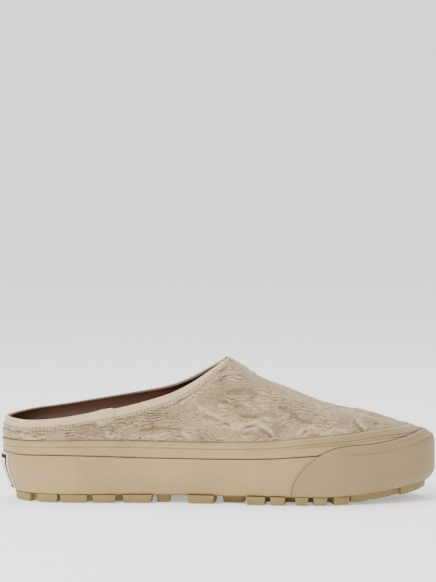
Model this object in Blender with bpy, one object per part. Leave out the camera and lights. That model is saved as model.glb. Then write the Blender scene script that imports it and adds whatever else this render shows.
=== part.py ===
"""Sneaker mule, right shoe: a slip-on with a low heel collar and a thick rubber sole.

The toe points along +X and the outer side of the foot faces -Y. The shoe stands on
Z = 0, and the middle of its footprint is the origin. Stations count round the wall:
0 at the back of the heel, then the lateral side, the toe, and the medial side back.
"""

import math

import bmesh
import bpy
import numpy as np
from mathutils import Vector

MM = 0.001

# Overall sizes
LENGTH = 298 * MM
HEEL_WIDTH = 72 * MM
WAIST_WIDTH = 72 * MM
BALL_WIDTH = 103 * MM
VAMP_LENGTH = 140 * MM

# Sole
LUG_HEIGHT = 5.8 * MM
TOE_SPRING = 7.8 * MM
HEEL_UNDERCUT = 8 * MM
CUP_HEIGHT = 31 * MM
CUP_WALL = 3 * MM
DECK_HEIGHT = 26 * MM
LIP_WIDTH = 4.2 * MM
POCKET_DEPTH = 2.5 * MM
PLATE_DROP = 0.8 * MM
LUG_REACH = 20 * MM
LUG_SHY = 0.4 * MM
LUG_DRAFT = 0.8 * MM
INSOLE_THICKNESS = 5 * MM

# Rubber wrapped round the top of the sole
TAPE_HEIGHT = 42.5 * MM
TAPE_THICKNESS = 3 * MM
TAPE_EDGE = 1.2 * MM
TOE_LEAN = 17 * MM
BUMPER_THICKNESS = 1.2 * MM
BUMPER_EDGE = 0.6 * MM
PATCH_THICKNESS = 1.0 * MM
PATCH_WIDTH = 31 * MM
PATCH_FOOT = 7.5 * MM
PATCH_TOP = 31.5 * MM

# Upper
UPPER_WALL = 2.2 * MM
HEEL_COLLAR_HEIGHT = 56.3 * MM
THROAT_HEIGHT = 95.0 * MM
TOE_RIDGE_HEIGHT = 50.5 * MM
VAMP_FULLNESS = 0.58
BINDING_WIDTH = 6.5 * MM
BINDING_THICKNESS = 0.8 * MM

# Clearances
GAP = 0.3 * MM
BUMPER_GAP = 0.4 * MM
BINDING_GAP = 0.65 * MM

# How finely the curved pieces are divided
REAR_COLUMNS = 22
FRONT_COLUMNS = 18
CUP_ROWS = (0.0, 0.18, 0.38, 0.65, 1.0)
TAPE_ROWS = (0.0, 0.3, 0.55, 0.8, 1.0)
VAMP_ROWS = 7
BINDING_STEPS = 4
BUMPER_END_STEPS = 3
PATCH_COLUMNS = 8

SIDE_COLUMNS = REAR_COLUMNS + FRONT_COLUMNS
COLUMNS = 2 * SIDE_COLUMNS
SOLE_LENGTH = LENGTH - PATCH_THICKNESS - BUMPER_THICKNESS - GAP - BUMPER_GAP
THROAT_PLACE = SOLE_LENGTH - VAMP_LENGTH
TOE_RIDGE_PLACE = SOLE_LENGTH - TOE_LEAN
RIDGE_END = SOLE_LENGTH - 2 * TOE_LEAN

# Outline of the side wall. Along the sole, the width that the row follows, then how far
# the lateral and medial sides stand from the centre line, as shares of half that width.
OUTLINE = (
    (0.020, HEEL_WIDTH, 0.47, 0.47),
    (0.050, HEEL_WIDTH, 0.71, 0.71),
    (0.100, HEEL_WIDTH, 0.89, 0.89),
    (0.150, HEEL_WIDTH, 0.97, 0.97),
    (0.220, HEEL_WIDTH, 1.00, 1.00),
    (0.300, HEEL_WIDTH, 1.01, 0.97),
    (0.400, WAIST_WIDTH, 1.07, 0.90),
    (0.500, WAIST_WIDTH, 1.21, 0.95),
    (0.600, BALL_WIDTH, 0.95, 0.80),
    (0.680, BALL_WIDTH, 1.00, 0.94),
    (0.740, BALL_WIDTH, 0.99, 1.00),
    (0.800, BALL_WIDTH, 0.93, 0.99),
    (0.860, BALL_WIDTH, 0.82, 0.92),
    (0.920, BALL_WIDTH, 0.62, 0.77),
    (0.960, BALL_WIDTH, 0.43, 0.57),
    (0.985, BALL_WIDTH, 0.21, 0.37),
)
TOE_TIP_SIDEWAYS = 0.08

# Side wall. Along the sole, the undercut at its foot as a share of HEEL_UNDERCUT, how far
# up the cup that lean reaches, how far the tape lies back as a share of TOE_LEAN, the cup's
# rim and the deck as shares of CUP_HEIGHT and DECK_HEIGHT, the tape's top of TAPE_HEIGHT.
WALL = (
    (0.00, 1.00, 0.70, 0.09, 1.07, 1.00, 0.985),
    (0.05, 0.55, 0.70, 0.09, 1.02, 1.00, 0.985),
    (0.12, 0.25, 0.70, 0.09, 1.03, 1.00, 0.995),
    (0.22, 0.25, 0.70, 0.09, 1.02, 1.00, 1.010),
    (0.32, 0.30, 0.70, 0.09, 0.99, 0.99, 1.002),
    (0.46, 0.45, 0.70, 0.10, 0.98, 0.94, 0.990),
    (0.60, 0.25, 0.60, 0.13, 1.00, 0.87, 1.010),
    (0.70, 0.15, 0.50, 0.16, 1.06, 0.85, 1.075),
    (0.80, 0.15, 0.40, 0.22, 1.13, 0.86, 1.130),
    (0.88, 0.25, 0.30, 0.40, 1.19, 0.90, 1.185),
    (0.95, 0.40, 0.25, 0.68, 1.22, 0.95, 1.200),
    (1.00, 0.50, 0.25, 1.00, 1.23, 1.00, 1.205),
)
UNDERCUT_CURVE = 1.3
SPRING_START = 0.755
SPRING_CURVE = 1.4

# Edge of the collar, from the back of the heel to the throat. Along the way to the throat,
# half width as a share of half HEEL_WIDTH, rise from the heel's height to the throat's,
# and how steeply the wall arrives there, in degrees.
COLLAR = (
    (0.033, 0.00, 0.000, 78),
    (0.058, 0.40, 0.000, 78),
    (0.129, 0.71, 0.008, 78),
    (0.258, 0.86, 0.050, 78),
    (0.387, 0.91, 0.130, 77),
    (0.516, 0.90, 0.220, 74),
    (0.626, 0.84, 0.315, 68),
    (0.742, 0.72, 0.435, 58),
    (0.838, 0.63, 0.600, 46),
    (0.926, 0.45, 0.815, 27),
    (0.977, 0.27, 0.945, 12),
    (1.000, 0.00, 1.000, 0),
)

# Ridge of the vamp, from the throat to the toe. Along that way, height as a share of the
# drop from throat to toe, and sideways shift as a share of half the ball's width.
RIDGE = (
    (0.00, 1.000, 0.00),
    (0.06, 0.905, 0.00),
    (0.11, 0.815, 0.01),
    (0.19, 0.690, 0.01),
    (0.28, 0.594, 0.02),
    (0.37, 0.505, 0.03),
    (0.44, 0.417, 0.04),
    (0.49, 0.353, 0.04),
    (0.57, 0.277, 0.05),
    (0.67, 0.205, 0.06),
    (0.75, 0.160, 0.07),
    (0.84, 0.100, 0.08),
    (0.92, 0.052, 0.08),
    (1.00, 0.000, 0.08),
)

# Toe bumper: its top line along the sole as a share of TAPE_HEIGHT, and its slanted ends,
# where each share of the bumper's height stands along the sole.
BUMPER_TOP = (
    (0.722, 0.760),
    (0.748, 0.856),
    (0.782, 0.925),
    (0.866, 0.965),
    (0.940, 1.045),
    (0.985, 1.095),
    (1.000, 1.100),
)
BUMPER_SEAM = (
    (0.000, 0.664),
    (0.300, 0.669),
    (0.525, 0.679),
    (0.755, 0.696),
    (1.000, 0.722),
)

# Lugs at the edge of both sides: start and end along the sole, then reach across and
# distance in from the edge as shares of LUG_REACH.
EDGE_LUGS = (
    (0.079, 0.129, 0.75, 0.00),
    (0.136, 0.199, 0.85, 0.00),
    (0.211, 0.265, 0.85, 0.00),
    (0.281, 0.347, 0.85, 0.00),
    (0.355, 0.386, 0.55, 0.30),
    (0.427, 0.487, 0.80, 0.00),
    (0.501, 0.551, 0.50, 0.55),
    (0.561, 0.606, 0.95, 0.00),
    (0.617, 0.652, 0.95, 0.00),
    (0.675, 0.706, 1.00, 0.00),
    (0.717, 0.750, 1.00, 0.00),
    (0.765, 0.802, 1.00, 0.00),
    (0.814, 0.852, 0.95, 0.20),
    (0.866, 0.912, 0.85, 0.20),
)
# Lugs that wrap the two ends: where they start, and their reach.
HEEL_LUG = (0.060, 0.42)
TOE_LUG = (0.928, 0.60)
# Bars down the middle: start and end along the sole, half width as a share of LUG_REACH.
MIDDLE_BARS = (
    (0.110, 0.150, 0.45),
    (0.172, 0.215, 0.50),
    (0.240, 0.285, 0.50),
    (0.590, 0.622, 0.70),
    (0.640, 0.672, 0.80),
    (0.692, 0.724, 0.90),
    (0.744, 0.776, 0.90),
    (0.796, 0.828, 0.75),
    (0.850, 0.880, 0.60),
)


def read(table, column, at):
    """One column of a table as a smooth curve that doesn't overshoot its rows."""
    places = [row[0] for row in table]
    values = [row[column] for row in table]
    at = min(max(at, places[0]), places[-1])
    i = sum(place <= at for place in places[1:-1])
    slopes = [(values[k + 1] - values[k]) / (places[k + 1] - places[k]) for k in range(len(places) - 1)]

    def bend(k):
        if k == 0 or k == len(places) - 1:
            return slopes[min(k, len(slopes) - 1)]
        before, after = slopes[k - 1], slopes[k]
        if before * after <= 0:
            return 0.0
        return 2 * before * after / (before + after)

    step = places[i + 1] - places[i]
    t = (at - places[i]) / step
    start = values[i] * (1 + 2 * t) + bend(i) * step * t
    end = values[i + 1] * (3 - 2 * t) - bend(i + 1) * step * (1 - t)
    return start * (1 - t) ** 2 + end * t * t


def mix(a, b, share):
    return a + (b - a) * share


class Path:
    """One half of a smooth closed curve, measured by its length."""

    def __init__(self, points):
        self.points = points
        steps = np.linalg.norm(np.diff(points[:, :3], axis=0), axis=1)
        self.runs = np.concatenate([[0.0], np.cumsum(steps)])
        self.length = self.runs[-1]

    def at(self, run):
        return np.array([np.interp(run, self.runs, column) for column in self.points.T])

    def run_at(self, x):
        return float(np.interp(x, self.points[:, 0], self.runs))


def halves(back, lateral, front, medial, steps=24):
    """The lateral and medial halves of a closed spline through these points."""
    knots = [np.array(k, float) for k in (back, *lateral, front, *reversed(medial))]
    count = len(knots)

    def span(i):
        """Catmull-Rom stretch after knot i, with knots spaced by the root of their distance."""
        a, b, c, d = (knots[(i + k) % count] for k in (-1, 0, 1, 2))
        ab, bc, cd = (math.sqrt(np.linalg.norm((q - p)[:2])) for p, q in ((a, b), (b, c), (c, d)))
        leave = (b - a) / ab - (c - a) / (ab + bc) + (c - b) / bc
        arrive = (c - b) / bc - (d - b) / (bc + cd) + (d - c) / cd
        for k in range(steps):
            t = k / steps
            yield (
                b * (2 * t**3 - 3 * t**2 + 1)
                + c * (3 * t**2 - 2 * t**3)
                + leave * bc * (t**3 - 2 * t**2 + t)
                + arrive * bc * (t**3 - t**2)
            )

    points = [p for i in range(count) for p in span(i)]
    turn = (len(lateral) + 1) * steps
    there = np.array(points[: turn + 1])
    home = np.array((points[turn:] + points[:1])[::-1])
    return Path(there), Path(home)


def sole_outline():
    def row(along, width, share):
        return (along * SOLE_LENGTH, share * width / 2)

    lateral = [row(along, width, -share) for along, width, share, _ in OUTLINE]
    medial = [row(along, width, share) for along, width, _, share in OUTLINE]
    toe = (SOLE_LENGTH, TOE_TIP_SIDEWAYS * BALL_WIDTH / 2)
    return halves((0, 0), lateral, toe, medial)


def collar_edge():
    def row(along, width, rise, steepness, side):
        height = mix(HEEL_COLLAR_HEIGHT, THROAT_HEIGHT, rise)
        return (along * THROAT_PLACE, side * width * HEEL_WIDTH / 2, height, steepness)

    between = COLLAR[1:-1]
    back = row(*COLLAR[0], 0)
    front = row(*COLLAR[-1], 0)
    lateral = [row(*r, -1) for r in between]
    medial = [row(*r, 1) for r in between]
    return halves(back, lateral, front, medial)


LATERAL, MEDIAL = sole_outline()
COLLAR_LATERAL, COLLAR_MEDIAL = collar_edge()


def station(place):
    """Point of the outline at a station, and the direction into the shoe there."""
    place = place % COLUMNS
    lateral = place <= SIDE_COLUMNS
    side = LATERAL if lateral else MEDIAL
    count = place if lateral else COLUMNS - place
    throat = side.run_at(THROAT_PLACE)
    if count <= REAR_COLUMNS:
        run = throat * count / REAR_COLUMNS
    else:
        run = mix(throat, side.length, (count - REAR_COLUMNS) / FRONT_COLUMNS)
    point = side.at(run)
    ahead = side.at(min(run + MM, side.length)) - side.at(max(run - MM, 0))
    if run < MM:
        inward = np.array((1.0, 0.0))
    elif run > side.length - MM:
        inward = np.array((-1.0, 0.0))
    else:
        inward = np.array((-ahead[1], ahead[0])) / np.linalg.norm(ahead)
        inward *= 1 if lateral else -1
    return point, inward


def place_at(side, x):
    """The station of one side at a distance along the sole."""
    throat = side.run_at(THROAT_PLACE)
    run = side.run_at(x)
    if run <= throat:
        count = REAR_COLUMNS * run / throat
    else:
        count = REAR_COLUMNS + FRONT_COLUMNS * (run - throat) / (side.length - throat)
    return count if side is LATERAL else COLUMNS - count


def lift(x):
    """How far the toe spring raises the sole."""
    run = max(0.0, x / SOLE_LENGTH - SPRING_START) / (1 - SPRING_START)
    return TOE_SPRING * run**SPRING_CURVE


def undercut(x):
    return HEEL_UNDERCUT * read(WALL, 1, x / SOLE_LENGTH)


def wall_foot(x):
    return LUG_HEIGHT + lift(x)


def cup_rim(x):
    return CUP_HEIGHT * read(WALL, 4, x / SOLE_LENGTH)


def deck(x):
    return DECK_HEIGHT * read(WALL, 5, x / SOLE_LENGTH)


def tape_top(x):
    return TAPE_HEIGHT * read(WALL, 6, x / SOLE_LENGTH)


def wall_inset(x, z):
    """How far in from the outline the outside of the wall stands at a height."""
    foot, rim, top = wall_foot(x), cup_rim(x), tape_top(x)
    if z > rim:
        return TOE_LEAN * read(WALL, 3, x / SOLE_LENGTH) * ((z - rim) / (top - rim)) ** 2
    knee = read(WALL, 2, x / SOLE_LENGTH)
    short = max(0.0, 1 - (z - foot) / (rim - foot) / knee)
    return undercut(x) * min(short, 1.0) ** UNDERCUT_CURVE


def wall_tilt(x, z):
    """Angle between the outside of the wall and upright at a height."""
    step = 0.1 * MM
    return math.atan((wall_inset(x, z + step) - wall_inset(x, z - step)) / (2 * step))


def inset_point(place, inset, z):
    point, inward = station(place)
    return Vector((*(point + inward * inset), z))


def wall_point(place, z, out=0.0):
    """Point of the outside of the wall, moved out square to it."""
    x = station(place)[0][0]
    tilt = wall_tilt(x, z)
    return inset_point(place, wall_inset(x, z) - out * math.cos(tilt), z + out * math.sin(tilt))


def ring(make):
    """One loop of points round the shoe, from a function of the station and its x."""
    return [make(place, station(place)[0][0]) for place in range(COLUMNS)]


def linear(colour):
    """An sRGB colour in hex as linear values."""
    parts = [int(colour[i : i + 2], 16) / 255 for i in (1, 3, 5)]
    return [c / 12.92 if c <= 0.04045 else ((c + 0.055) / 1.055) ** 2.4 for c in parts] + [1]


def finish(name, colour, roughness):
    material = bpy.data.materials.new(name)
    material.use_nodes = True
    shader = material.node_tree.nodes["Principled BSDF"]
    shader.inputs["Base Color"].default_value = linear(colour)
    shader.inputs["Roughness"].default_value = roughness
    shader.inputs["Metallic"].default_value = 0.0
    return material


def joined(points, faces):
    """A bmesh from points and faces."""
    shape = bmesh.new()
    corners = [shape.verts.new(point) for point in points]
    for face in faces:
        shape.faces.new([corners[k] for k in face])
    shape.normal_update()
    return shape


def add_object(name, points, faces, material, collection, parent):
    """An object from points and faces, with its faces turned out."""
    shape = joined(points, faces)
    bmesh.ops.remove_doubles(shape, verts=shape.verts, dist=MM / 100)
    bmesh.ops.recalc_face_normals(shape, faces=shape.faces)
    bmesh.ops.triangulate(shape, faces=[f for f in shape.faces if len(f.verts) > 4])
    mesh = bpy.data.meshes.new(name)
    shape.to_mesh(mesh)
    shape.free()
    mesh.materials.append(material)
    mesh.shade_smooth()
    mesh.set_sharp_from_angle(angle=math.radians(35))
    obj = bpy.data.objects.new(name, mesh)
    obj.parent = parent
    collection.objects.link(obj)
    return obj


def stacked(rings):
    """Points and faces of a solid between rings round the shoe, with both ends closed across it."""
    count = len(rings[0])
    half = count // 2
    points = [p for loop in rings for p in loop]
    faces = [
        (j * count + i, j * count + (i + 1) % count, (j + 1) * count + (i + 1) % count, (j + 1) * count + i)
        for j in range(len(rings) - 1)
        for i in range(count)
    ]

    def across(start, flip):
        for i in range(half):
            corners = [i, i + 1, (count - i - 1) % count, (count - i) % count]
            face = [start + k for k in dict.fromkeys(corners)]
            yield tuple(face[::-1] if flip else face)

    faces += across(0, True)
    faces += across((len(rings) - 1) * count, False)
    return points, faces


def swept(sections, closed):
    """Points and faces of a solid whose closed section is carried along the shoe."""
    count = len(sections[0])
    points = [p for section in sections for p in section]
    last = len(sections) if closed else len(sections) - 1
    faces = []
    for i in range(last):
        a, b = i * count, (i + 1) % len(sections) * count
        faces += [(a + j, b + j, b + (j + 1) % count, a + (j + 1) % count) for j in range(count)]
    if not closed:
        end = (len(sections) - 1) * count
        faces.append(tuple(range(count)))
        faces.append(tuple(end + j for j in reversed(range(count))))
    return points, faces


def midsole():
    """Cup with its deck, and the shallow pocket for the tread plate underneath."""

    def wall(share):
        return ring(lambda place, x: wall_point(place, mix(wall_foot(x), cup_rim(x), share)))

    return stacked(
        [
            ring(lambda p, x: inset_point(p, undercut(x) + LIP_WIDTH, wall_foot(x) + POCKET_DEPTH)),
            ring(lambda p, x: inset_point(p, undercut(x) + LIP_WIDTH, wall_foot(x))),
            *(wall(share) for share in CUP_ROWS),
            ring(lambda p, x: inset_point(p, CUP_WALL, cup_rim(x))),
            ring(lambda p, x: inset_point(p, CUP_WALL, deck(x))),
        ]
    )


def tread_plate():
    inset = LIP_WIDTH + GAP
    return stacked(
        [
            ring(lambda p, x: inset_point(p, undercut(x) + inset, wall_foot(x) - PLATE_DROP)),
            ring(lambda p, x: inset_point(p, undercut(x) + inset, wall_foot(x) + POCKET_DEPTH - GAP)),
        ]
    )


def lug(first, last, reach, set_back):
    """One lug between two stations: its top and bottom outlines, the bottom a little smaller."""
    steps = max(2, round(abs(last - first)))
    slack = LUG_DRAFT / (LATERAL.length / SIDE_COLUMNS)
    turn = math.copysign(slack, last - first)

    def outline(shrink, height):
        places = [mix(first + turn * shrink, last - turn * shrink, k / steps) for k in range(steps + 1)]
        draft = LUG_DRAFT * shrink
        edge, heart = [], []
        for place in places:
            x = station(place)[0][0]
            base = undercut(x) + LUG_SHY + set_back
            edge.append(inset_point(place, base + draft, height(x)))
            heart.append(inset_point(place, base + reach - draft, height(x)))
        return edge + heart[::-1]

    return outline(0, lambda x: wall_foot(x) - GAP), outline(1, lift)


def bar(start, end, half_width):
    """One bar down the middle of the tread."""

    def outline(shrink, height):
        corners = []
        for x, y in ((start, -1), (end, -1), (end, 1), (start, 1)):
            inner = x + (shrink if x == start else -shrink)
            sides = (side.at(side.run_at(x))[1] for side in (LATERAL, MEDIAL))
            corners.append(Vector((inner, sum(sides) / 2 + y * (half_width - shrink), height(inner))))
        return corners

    return outline(0, lambda x: wall_foot(x) - GAP), outline(LUG_DRAFT, lift)


def tread_lugs():
    pairs = []
    for start, end, reach, set_back in EDGE_LUGS:
        for side in (LATERAL, MEDIAL):
            first = place_at(side, start * SOLE_LENGTH)
            last = place_at(side, end * SOLE_LENGTH)
            pairs.append(lug(first, last, reach * LUG_REACH, set_back * LUG_REACH))
    start, reach = HEEL_LUG
    heel = place_at(LATERAL, start * SOLE_LENGTH)
    pairs.append(lug(-heel, heel, reach * LUG_REACH, 0))
    start, reach = TOE_LUG
    first = place_at(LATERAL, start * SOLE_LENGTH)
    last = place_at(MEDIAL, start * SOLE_LENGTH)
    pairs.append(lug(first, last, reach * LUG_REACH, 0))
    for start, end, width in MIDDLE_BARS:
        pairs.append(bar(start * SOLE_LENGTH, end * SOLE_LENGTH, width * LUG_REACH))

    points, faces = [], []
    for top, bottom in pairs:
        base, count = len(points), len(top)
        points += top + bottom
        faces += [
            (base + i, base + (i + 1) % count, base + count + (i + 1) % count, base + count + i)
            for i in range(count)
        ]
        faces.append(tuple(range(base, base + count)))
        faces.append(tuple(reversed(range(base + count, base + 2 * count))))
    return points, faces


def tape_thickness(share):
    return mix(TAPE_THICKNESS, TAPE_EDGE, share)


def foxing_tape():
    sections = []
    for place in range(COLUMNS):
        x = station(place)[0][0]
        foot, top = cup_rim(x) + GAP, tape_top(x)
        heights = [(mix(foot, top, share), tape_thickness(share)) for share in TAPE_ROWS]
        outside = [wall_point(place, z) for z, _ in heights]
        inside = [wall_point(place, z, -thickness) for z, thickness in heights]
        sections.append(outside + inside[::-1])
    return swept(sections, closed=True)


def bumper_places(share):
    """Stations along one row of the bumper: its slanted ends, and the wall's own between."""
    seam, top_seam = (read(BUMPER_SEAM, 1, s) * SOLE_LENGTH for s in (share, 1.0))
    near, far = math.ceil(place_at(LATERAL, top_seam)), math.floor(place_at(MEDIAL, top_seam))
    lead = [mix(place_at(LATERAL, seam), near, k / BUMPER_END_STEPS) for k in range(BUMPER_END_STEPS)]
    tail = [mix(place_at(MEDIAL, seam), far, k / BUMPER_END_STEPS) for k in range(BUMPER_END_STEPS)]
    return lead + list(range(near, far + 1)) + tail[::-1]


def toe_bumper():
    *low, shoulder = CUP_ROWS[:-1]
    high = [mix(shoulder, 1.0, share) for share in (0.0, 0.35, 0.55, 0.68, 0.79, 0.9, 1.0)]
    rows = []
    for share in low + high:
        outside, inside = [], []
        thickness = BUMPER_EDGE if share == 1.0 else BUMPER_THICKNESS
        for place in bumper_places(share):
            x = station(place)[0][0]
            top = TAPE_HEIGHT * read(BUMPER_TOP, 1, x / SOLE_LENGTH)
            z = mix(wall_foot(x), cup_rim(x), min(share, shoulder))
            z = mix(z, top, max(share - shoulder, 0) / (1 - shoulder))
            outside.append(wall_point(place, z, BUMPER_GAP + thickness))
            inside.append(wall_point(place, z, BUMPER_GAP))
        rows.append((outside, inside))
    outer, inner = zip(*rows)
    sections = [out + back[::-1] for out, back in zip(map(list, zip(*outer)), map(list, zip(*inner)))]
    return swept(sections, closed=False)


def heel_patch():
    heights = [mix(PATCH_FOOT, PATCH_TOP, k / 4) for k in range(5)]
    column_length = LATERAL.run_at(THROAT_PLACE) / REAR_COLUMNS
    reach = PATCH_WIDTH / 2 / column_length
    sections = []
    for column in range(PATCH_COLUMNS + 1):
        place = mix(-reach, reach, column / PATCH_COLUMNS)
        outside = [wall_point(place, z, GAP + PATCH_THICKNESS) for z in heights]
        inside = [wall_point(place, z, GAP) for z in heights]
        sections.append(outside + inside[::-1])
    return swept(sections, closed=False)


def insole():
    inset = CUP_WALL + UPPER_WALL + 2 * GAP
    return stacked(
        [
            ring(lambda p, x: inset_point(p, inset, deck(x) + GAP)),
            ring(lambda p, x: inset_point(p, inset, deck(x) + GAP + INSOLE_THICKNESS)),
        ]
    )


def ridge_point(x):
    """Point of the vamp's ridge, and its slope along the shoe."""

    def height(at):
        share = (at - THROAT_PLACE) / (TOE_RIDGE_PLACE - THROAT_PLACE)
        return mix(TOE_RIDGE_HEIGHT, THROAT_HEIGHT, read(RIDGE, 1, share))

    share = (x - THROAT_PLACE) / (TOE_RIDGE_PLACE - THROAT_PLACE)
    sideways = read(RIDGE, 2, share) * BALL_WIDTH / 2
    return Vector((x, sideways, height(x))), (height(x + MM) - height(x - MM)) / (2 * MM)


def rib_end(place):
    """Where a rib of the upper ends, on the collar or the ridge, and how it arrives there."""
    place = place % COLUMNS
    lateral = place <= SIDE_COLUMNS
    count = place if lateral else COLUMNS - place
    point, inward = station(place)
    if count <= REAR_COLUMNS:
        edge = COLLAR_LATERAL if lateral else COLLAR_MEDIAL
        x, y, z, steepness = edge.at(edge.length * count / REAR_COLUMNS)
        slope = math.radians(steepness)
        arrive = Vector((*(inward * math.cos(slope)), math.sin(slope)))
        return Vector((x, y, z)), arrive
    across = (station(count)[0][0] + station(COLUMNS - count)[0][0]) / 2
    share = (across - THROAT_PLACE) / (SOLE_LENGTH - THROAT_PLACE)
    end, slope = ridge_point(across - (SOLE_LENGTH - RIDGE_END) * share**2)
    heading = (end.xy - Vector(point)).normalized()
    arrive = Vector((*heading, heading.x * slope)).normalized()
    return end, arrive


def upper_rib(place):
    """Points up the outside of the upper, from the feather line to the collar or the ridge."""
    x = station(place)[0][0]
    rib = [inset_point(place, CUP_WALL + GAP, deck(x) + GAP)]
    for share in TAPE_ROWS[::2]:
        z = mix(cup_rim(x), tape_top(x), share)
        rib.append(wall_point(place, z, -(tape_thickness(share) + GAP)))
    start = rib[-1]
    end, arrive = rib_end(place)
    tilt = wall_tilt(x, tape_top(x))
    leave = Vector((*(station(place)[1] * math.sin(tilt)), math.cos(tilt)))
    reach = end - start
    first = start + leave * max(reach.dot(leave), 0) * VAMP_FULLNESS
    second = end - arrive * max(reach.dot(arrive), 0) * VAMP_FULLNESS

    def curve(t):
        return (
            start * (1 - t) ** 3
            + first * 3 * t * (1 - t) ** 2
            + second * 3 * t * t * (1 - t)
            + end * t**3
        )

    samples = Path(np.array([(*curve(k / 40), k / 40) for k in range(41)]))
    edge = samples.at(samples.length - BINDING_WIDTH)[3]
    rib += [curve(edge * k / (VAMP_ROWS - 1)) for k in range(1, VAMP_ROWS)]
    return rib + [end]


def upper_sheet():
    """The outside of the upper, with the two sides welded where they meet on the ridge.

    Also the number of the point at each station and row.
    """
    ribs = [upper_rib(place) for place in range(COLUMNS)]
    last = len(ribs[0]) - 1
    points, index = [], {}
    for place, rib in enumerate(ribs):
        for row, point in enumerate(rib):
            if row == last and COLUMNS - REAR_COLUMNS >= place > SIDE_COLUMNS:
                index[place, row] = index[COLUMNS - place, row]
            else:
                index[place, row] = len(points)
                points.append(point)
    faces = []
    for place in range(COLUMNS):
        after = (place + 1) % COLUMNS
        for row in range(last):
            corners = [index[place, row], index[after, row], index[after, row + 1], index[place, row + 1]]
            turn = 1 if place >= SIDE_COLUMNS else 0
            if row == last - 1 and len(set(corners)) == 4:
                a, b, c, d = corners[turn:] + corners[:turn]
                faces += [(a, b, c), (a, c, d)]
            else:
                faces.append(tuple(dict.fromkeys(corners)))
    return points, faces, index


def upper_solid(points, faces, facings):
    """Points and faces of the upper's wall, between its outside and the same sheet further in."""
    count = len(points)
    inner = [point - facing * UPPER_WALL for point, facing in zip(points, facings)]
    sides = {(face[k - 1], face[k]) for face in faces for k in range(len(face))}
    border = [(b, a, a + count, b + count) for a, b in sorted(sides) if (b, a) not in sides]
    back = [tuple(k + count for k in reversed(face)) for face in faces]
    return points + inner, faces + back + border


def collar_binding(points, facings, index):
    """Strip folded over the collar's edge, following both faces of the upper's wall."""
    last = max(row for _, row in index)
    lateral = [(index[place, last - 1], index[place, last]) for place in range(REAR_COLUMNS + 1)]
    ridge = [(index[REAR_COLUMNS + 1, last], index[REAR_COLUMNS, last])]
    medial = [
        (index[place, last - 1], index[place, last])
        for place in range(COLUMNS - REAR_COLUMNS, COLUMNS)
    ]
    rims = list(dict.fromkeys(rim for _, rim in lateral + medial))
    upward = {}
    for i, rim in enumerate(rims):
        along = points[rims[(i + 1) % len(rims)]] - points[rims[i - 1]]
        upward[rim] = facings[rim].cross(along).normalized()

    near, far = BINDING_GAP, BINDING_GAP + BINDING_THICKNESS
    sections = []
    for foot, rim in lateral + ridge + medial:

        def at(corner, out, up=0.0):
            return points[corner] + facings[corner] * out + upward[rim] * up

        fold = []
        for k in range(BINDING_STEPS + 1):
            angle = math.pi * k / BINDING_STEPS
            out = (UPPER_WALL / 2 + far) * math.cos(angle) - UPPER_WALL / 2
            fold.append(at(rim, out, far * math.sin(angle)))
        sections.append(
            [at(foot, far)]
            + fold
            + [at(foot, -UPPER_WALL - far), at(foot, -UPPER_WALL - near)]
            + [at(rim, -UPPER_WALL - near), at(rim, -UPPER_WALL - near, near)]
            + [at(rim, near, near), at(rim, near), at(foot, near)]
        )
    return swept(sections, closed=True)


def build():
    for old in list(bpy.data.objects):
        bpy.data.objects.remove(old)
    shoe = bpy.data.collections.new("sneaker_mule")
    cutters = bpy.data.collections.new("cutters")
    cutters.hide_render = True
    for collection in (shoe, cutters):
        bpy.context.scene.collection.children.link(collection)

    sides = [side.points[:, 1] for side in (LATERAL, MEDIAL)]
    wrap = BUMPER_GAP + BUMPER_THICKNESS
    front = SOLE_LENGTH + wrap
    back = -(GAP + PATCH_THICKNESS)
    centre = bpy.data.objects.new("footprint_centre", None)
    centre.location = (-(front + back) / 2, -(sides[0].min() + sides[1].max()) / 2, 0)
    shoe.objects.link(centre)

    rubber = finish("rubber", "#C0AE90", 0.6)
    tread = finish("tread_rubber", "#B5A57F", 0.65)
    bumper = finish("bumper_rubber", "#B3A285", 0.55)
    patch = finish("patch_rubber", "#DDD6C4", 0.5)
    suede = finish("suede", "#BBA992", 0.9)
    binding = finish("binding_leather", "#C2B29B", 0.7)
    lining = finish("footbed_leather", "#4A3226", 0.7)

    add_object("midsole", *midsole(), rubber, shoe, centre)
    add_object("foxing_tape", *foxing_tape(), rubber, shoe, centre)
    add_object("toe_bumper", *toe_bumper(), bumper, shoe, centre)
    add_object("heel_patch", *heel_patch(), patch, shoe, centre)
    add_object("insole", *insole(), lining, shoe, centre)

    outsole = add_object("outsole", *tread_plate(), tread, shoe, centre)
    lugs = add_object("lugs", *tread_lugs(), tread, cutters, centre)
    lugs.hide_render = True
    lugs.display_type = "WIRE"
    join = outsole.modifiers.new("Lugs", "BOOLEAN")
    join.operation = "UNION"
    join.solver = "EXACT"
    join.use_self = True
    join.object = lugs

    points, faces, index = upper_sheet()
    outside = joined(points, faces)
    facings = [corner.normal.copy() for corner in outside.verts]
    outside.free()
    add_object("upper", *upper_solid(points, faces, facings), suede, shoe, centre)
    add_object("collar_binding", *collar_binding(points, facings, index), binding, shoe, centre)


build()
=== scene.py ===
"""Looks of the sneaker mule: its pieces in the order in which a maker puts them together.

Everything is in metres. The toe points along +X, the outer side of the foot faces -Y, and
the shoe stands on Z = 0. Stations count round the sole from the back of the heel: up the
outer side to the toe, then home along the inner side.
"""

import math

import bpy
import numpy as np
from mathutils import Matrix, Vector, noise
from mathutils.bvhtree import BVHTree


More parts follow.
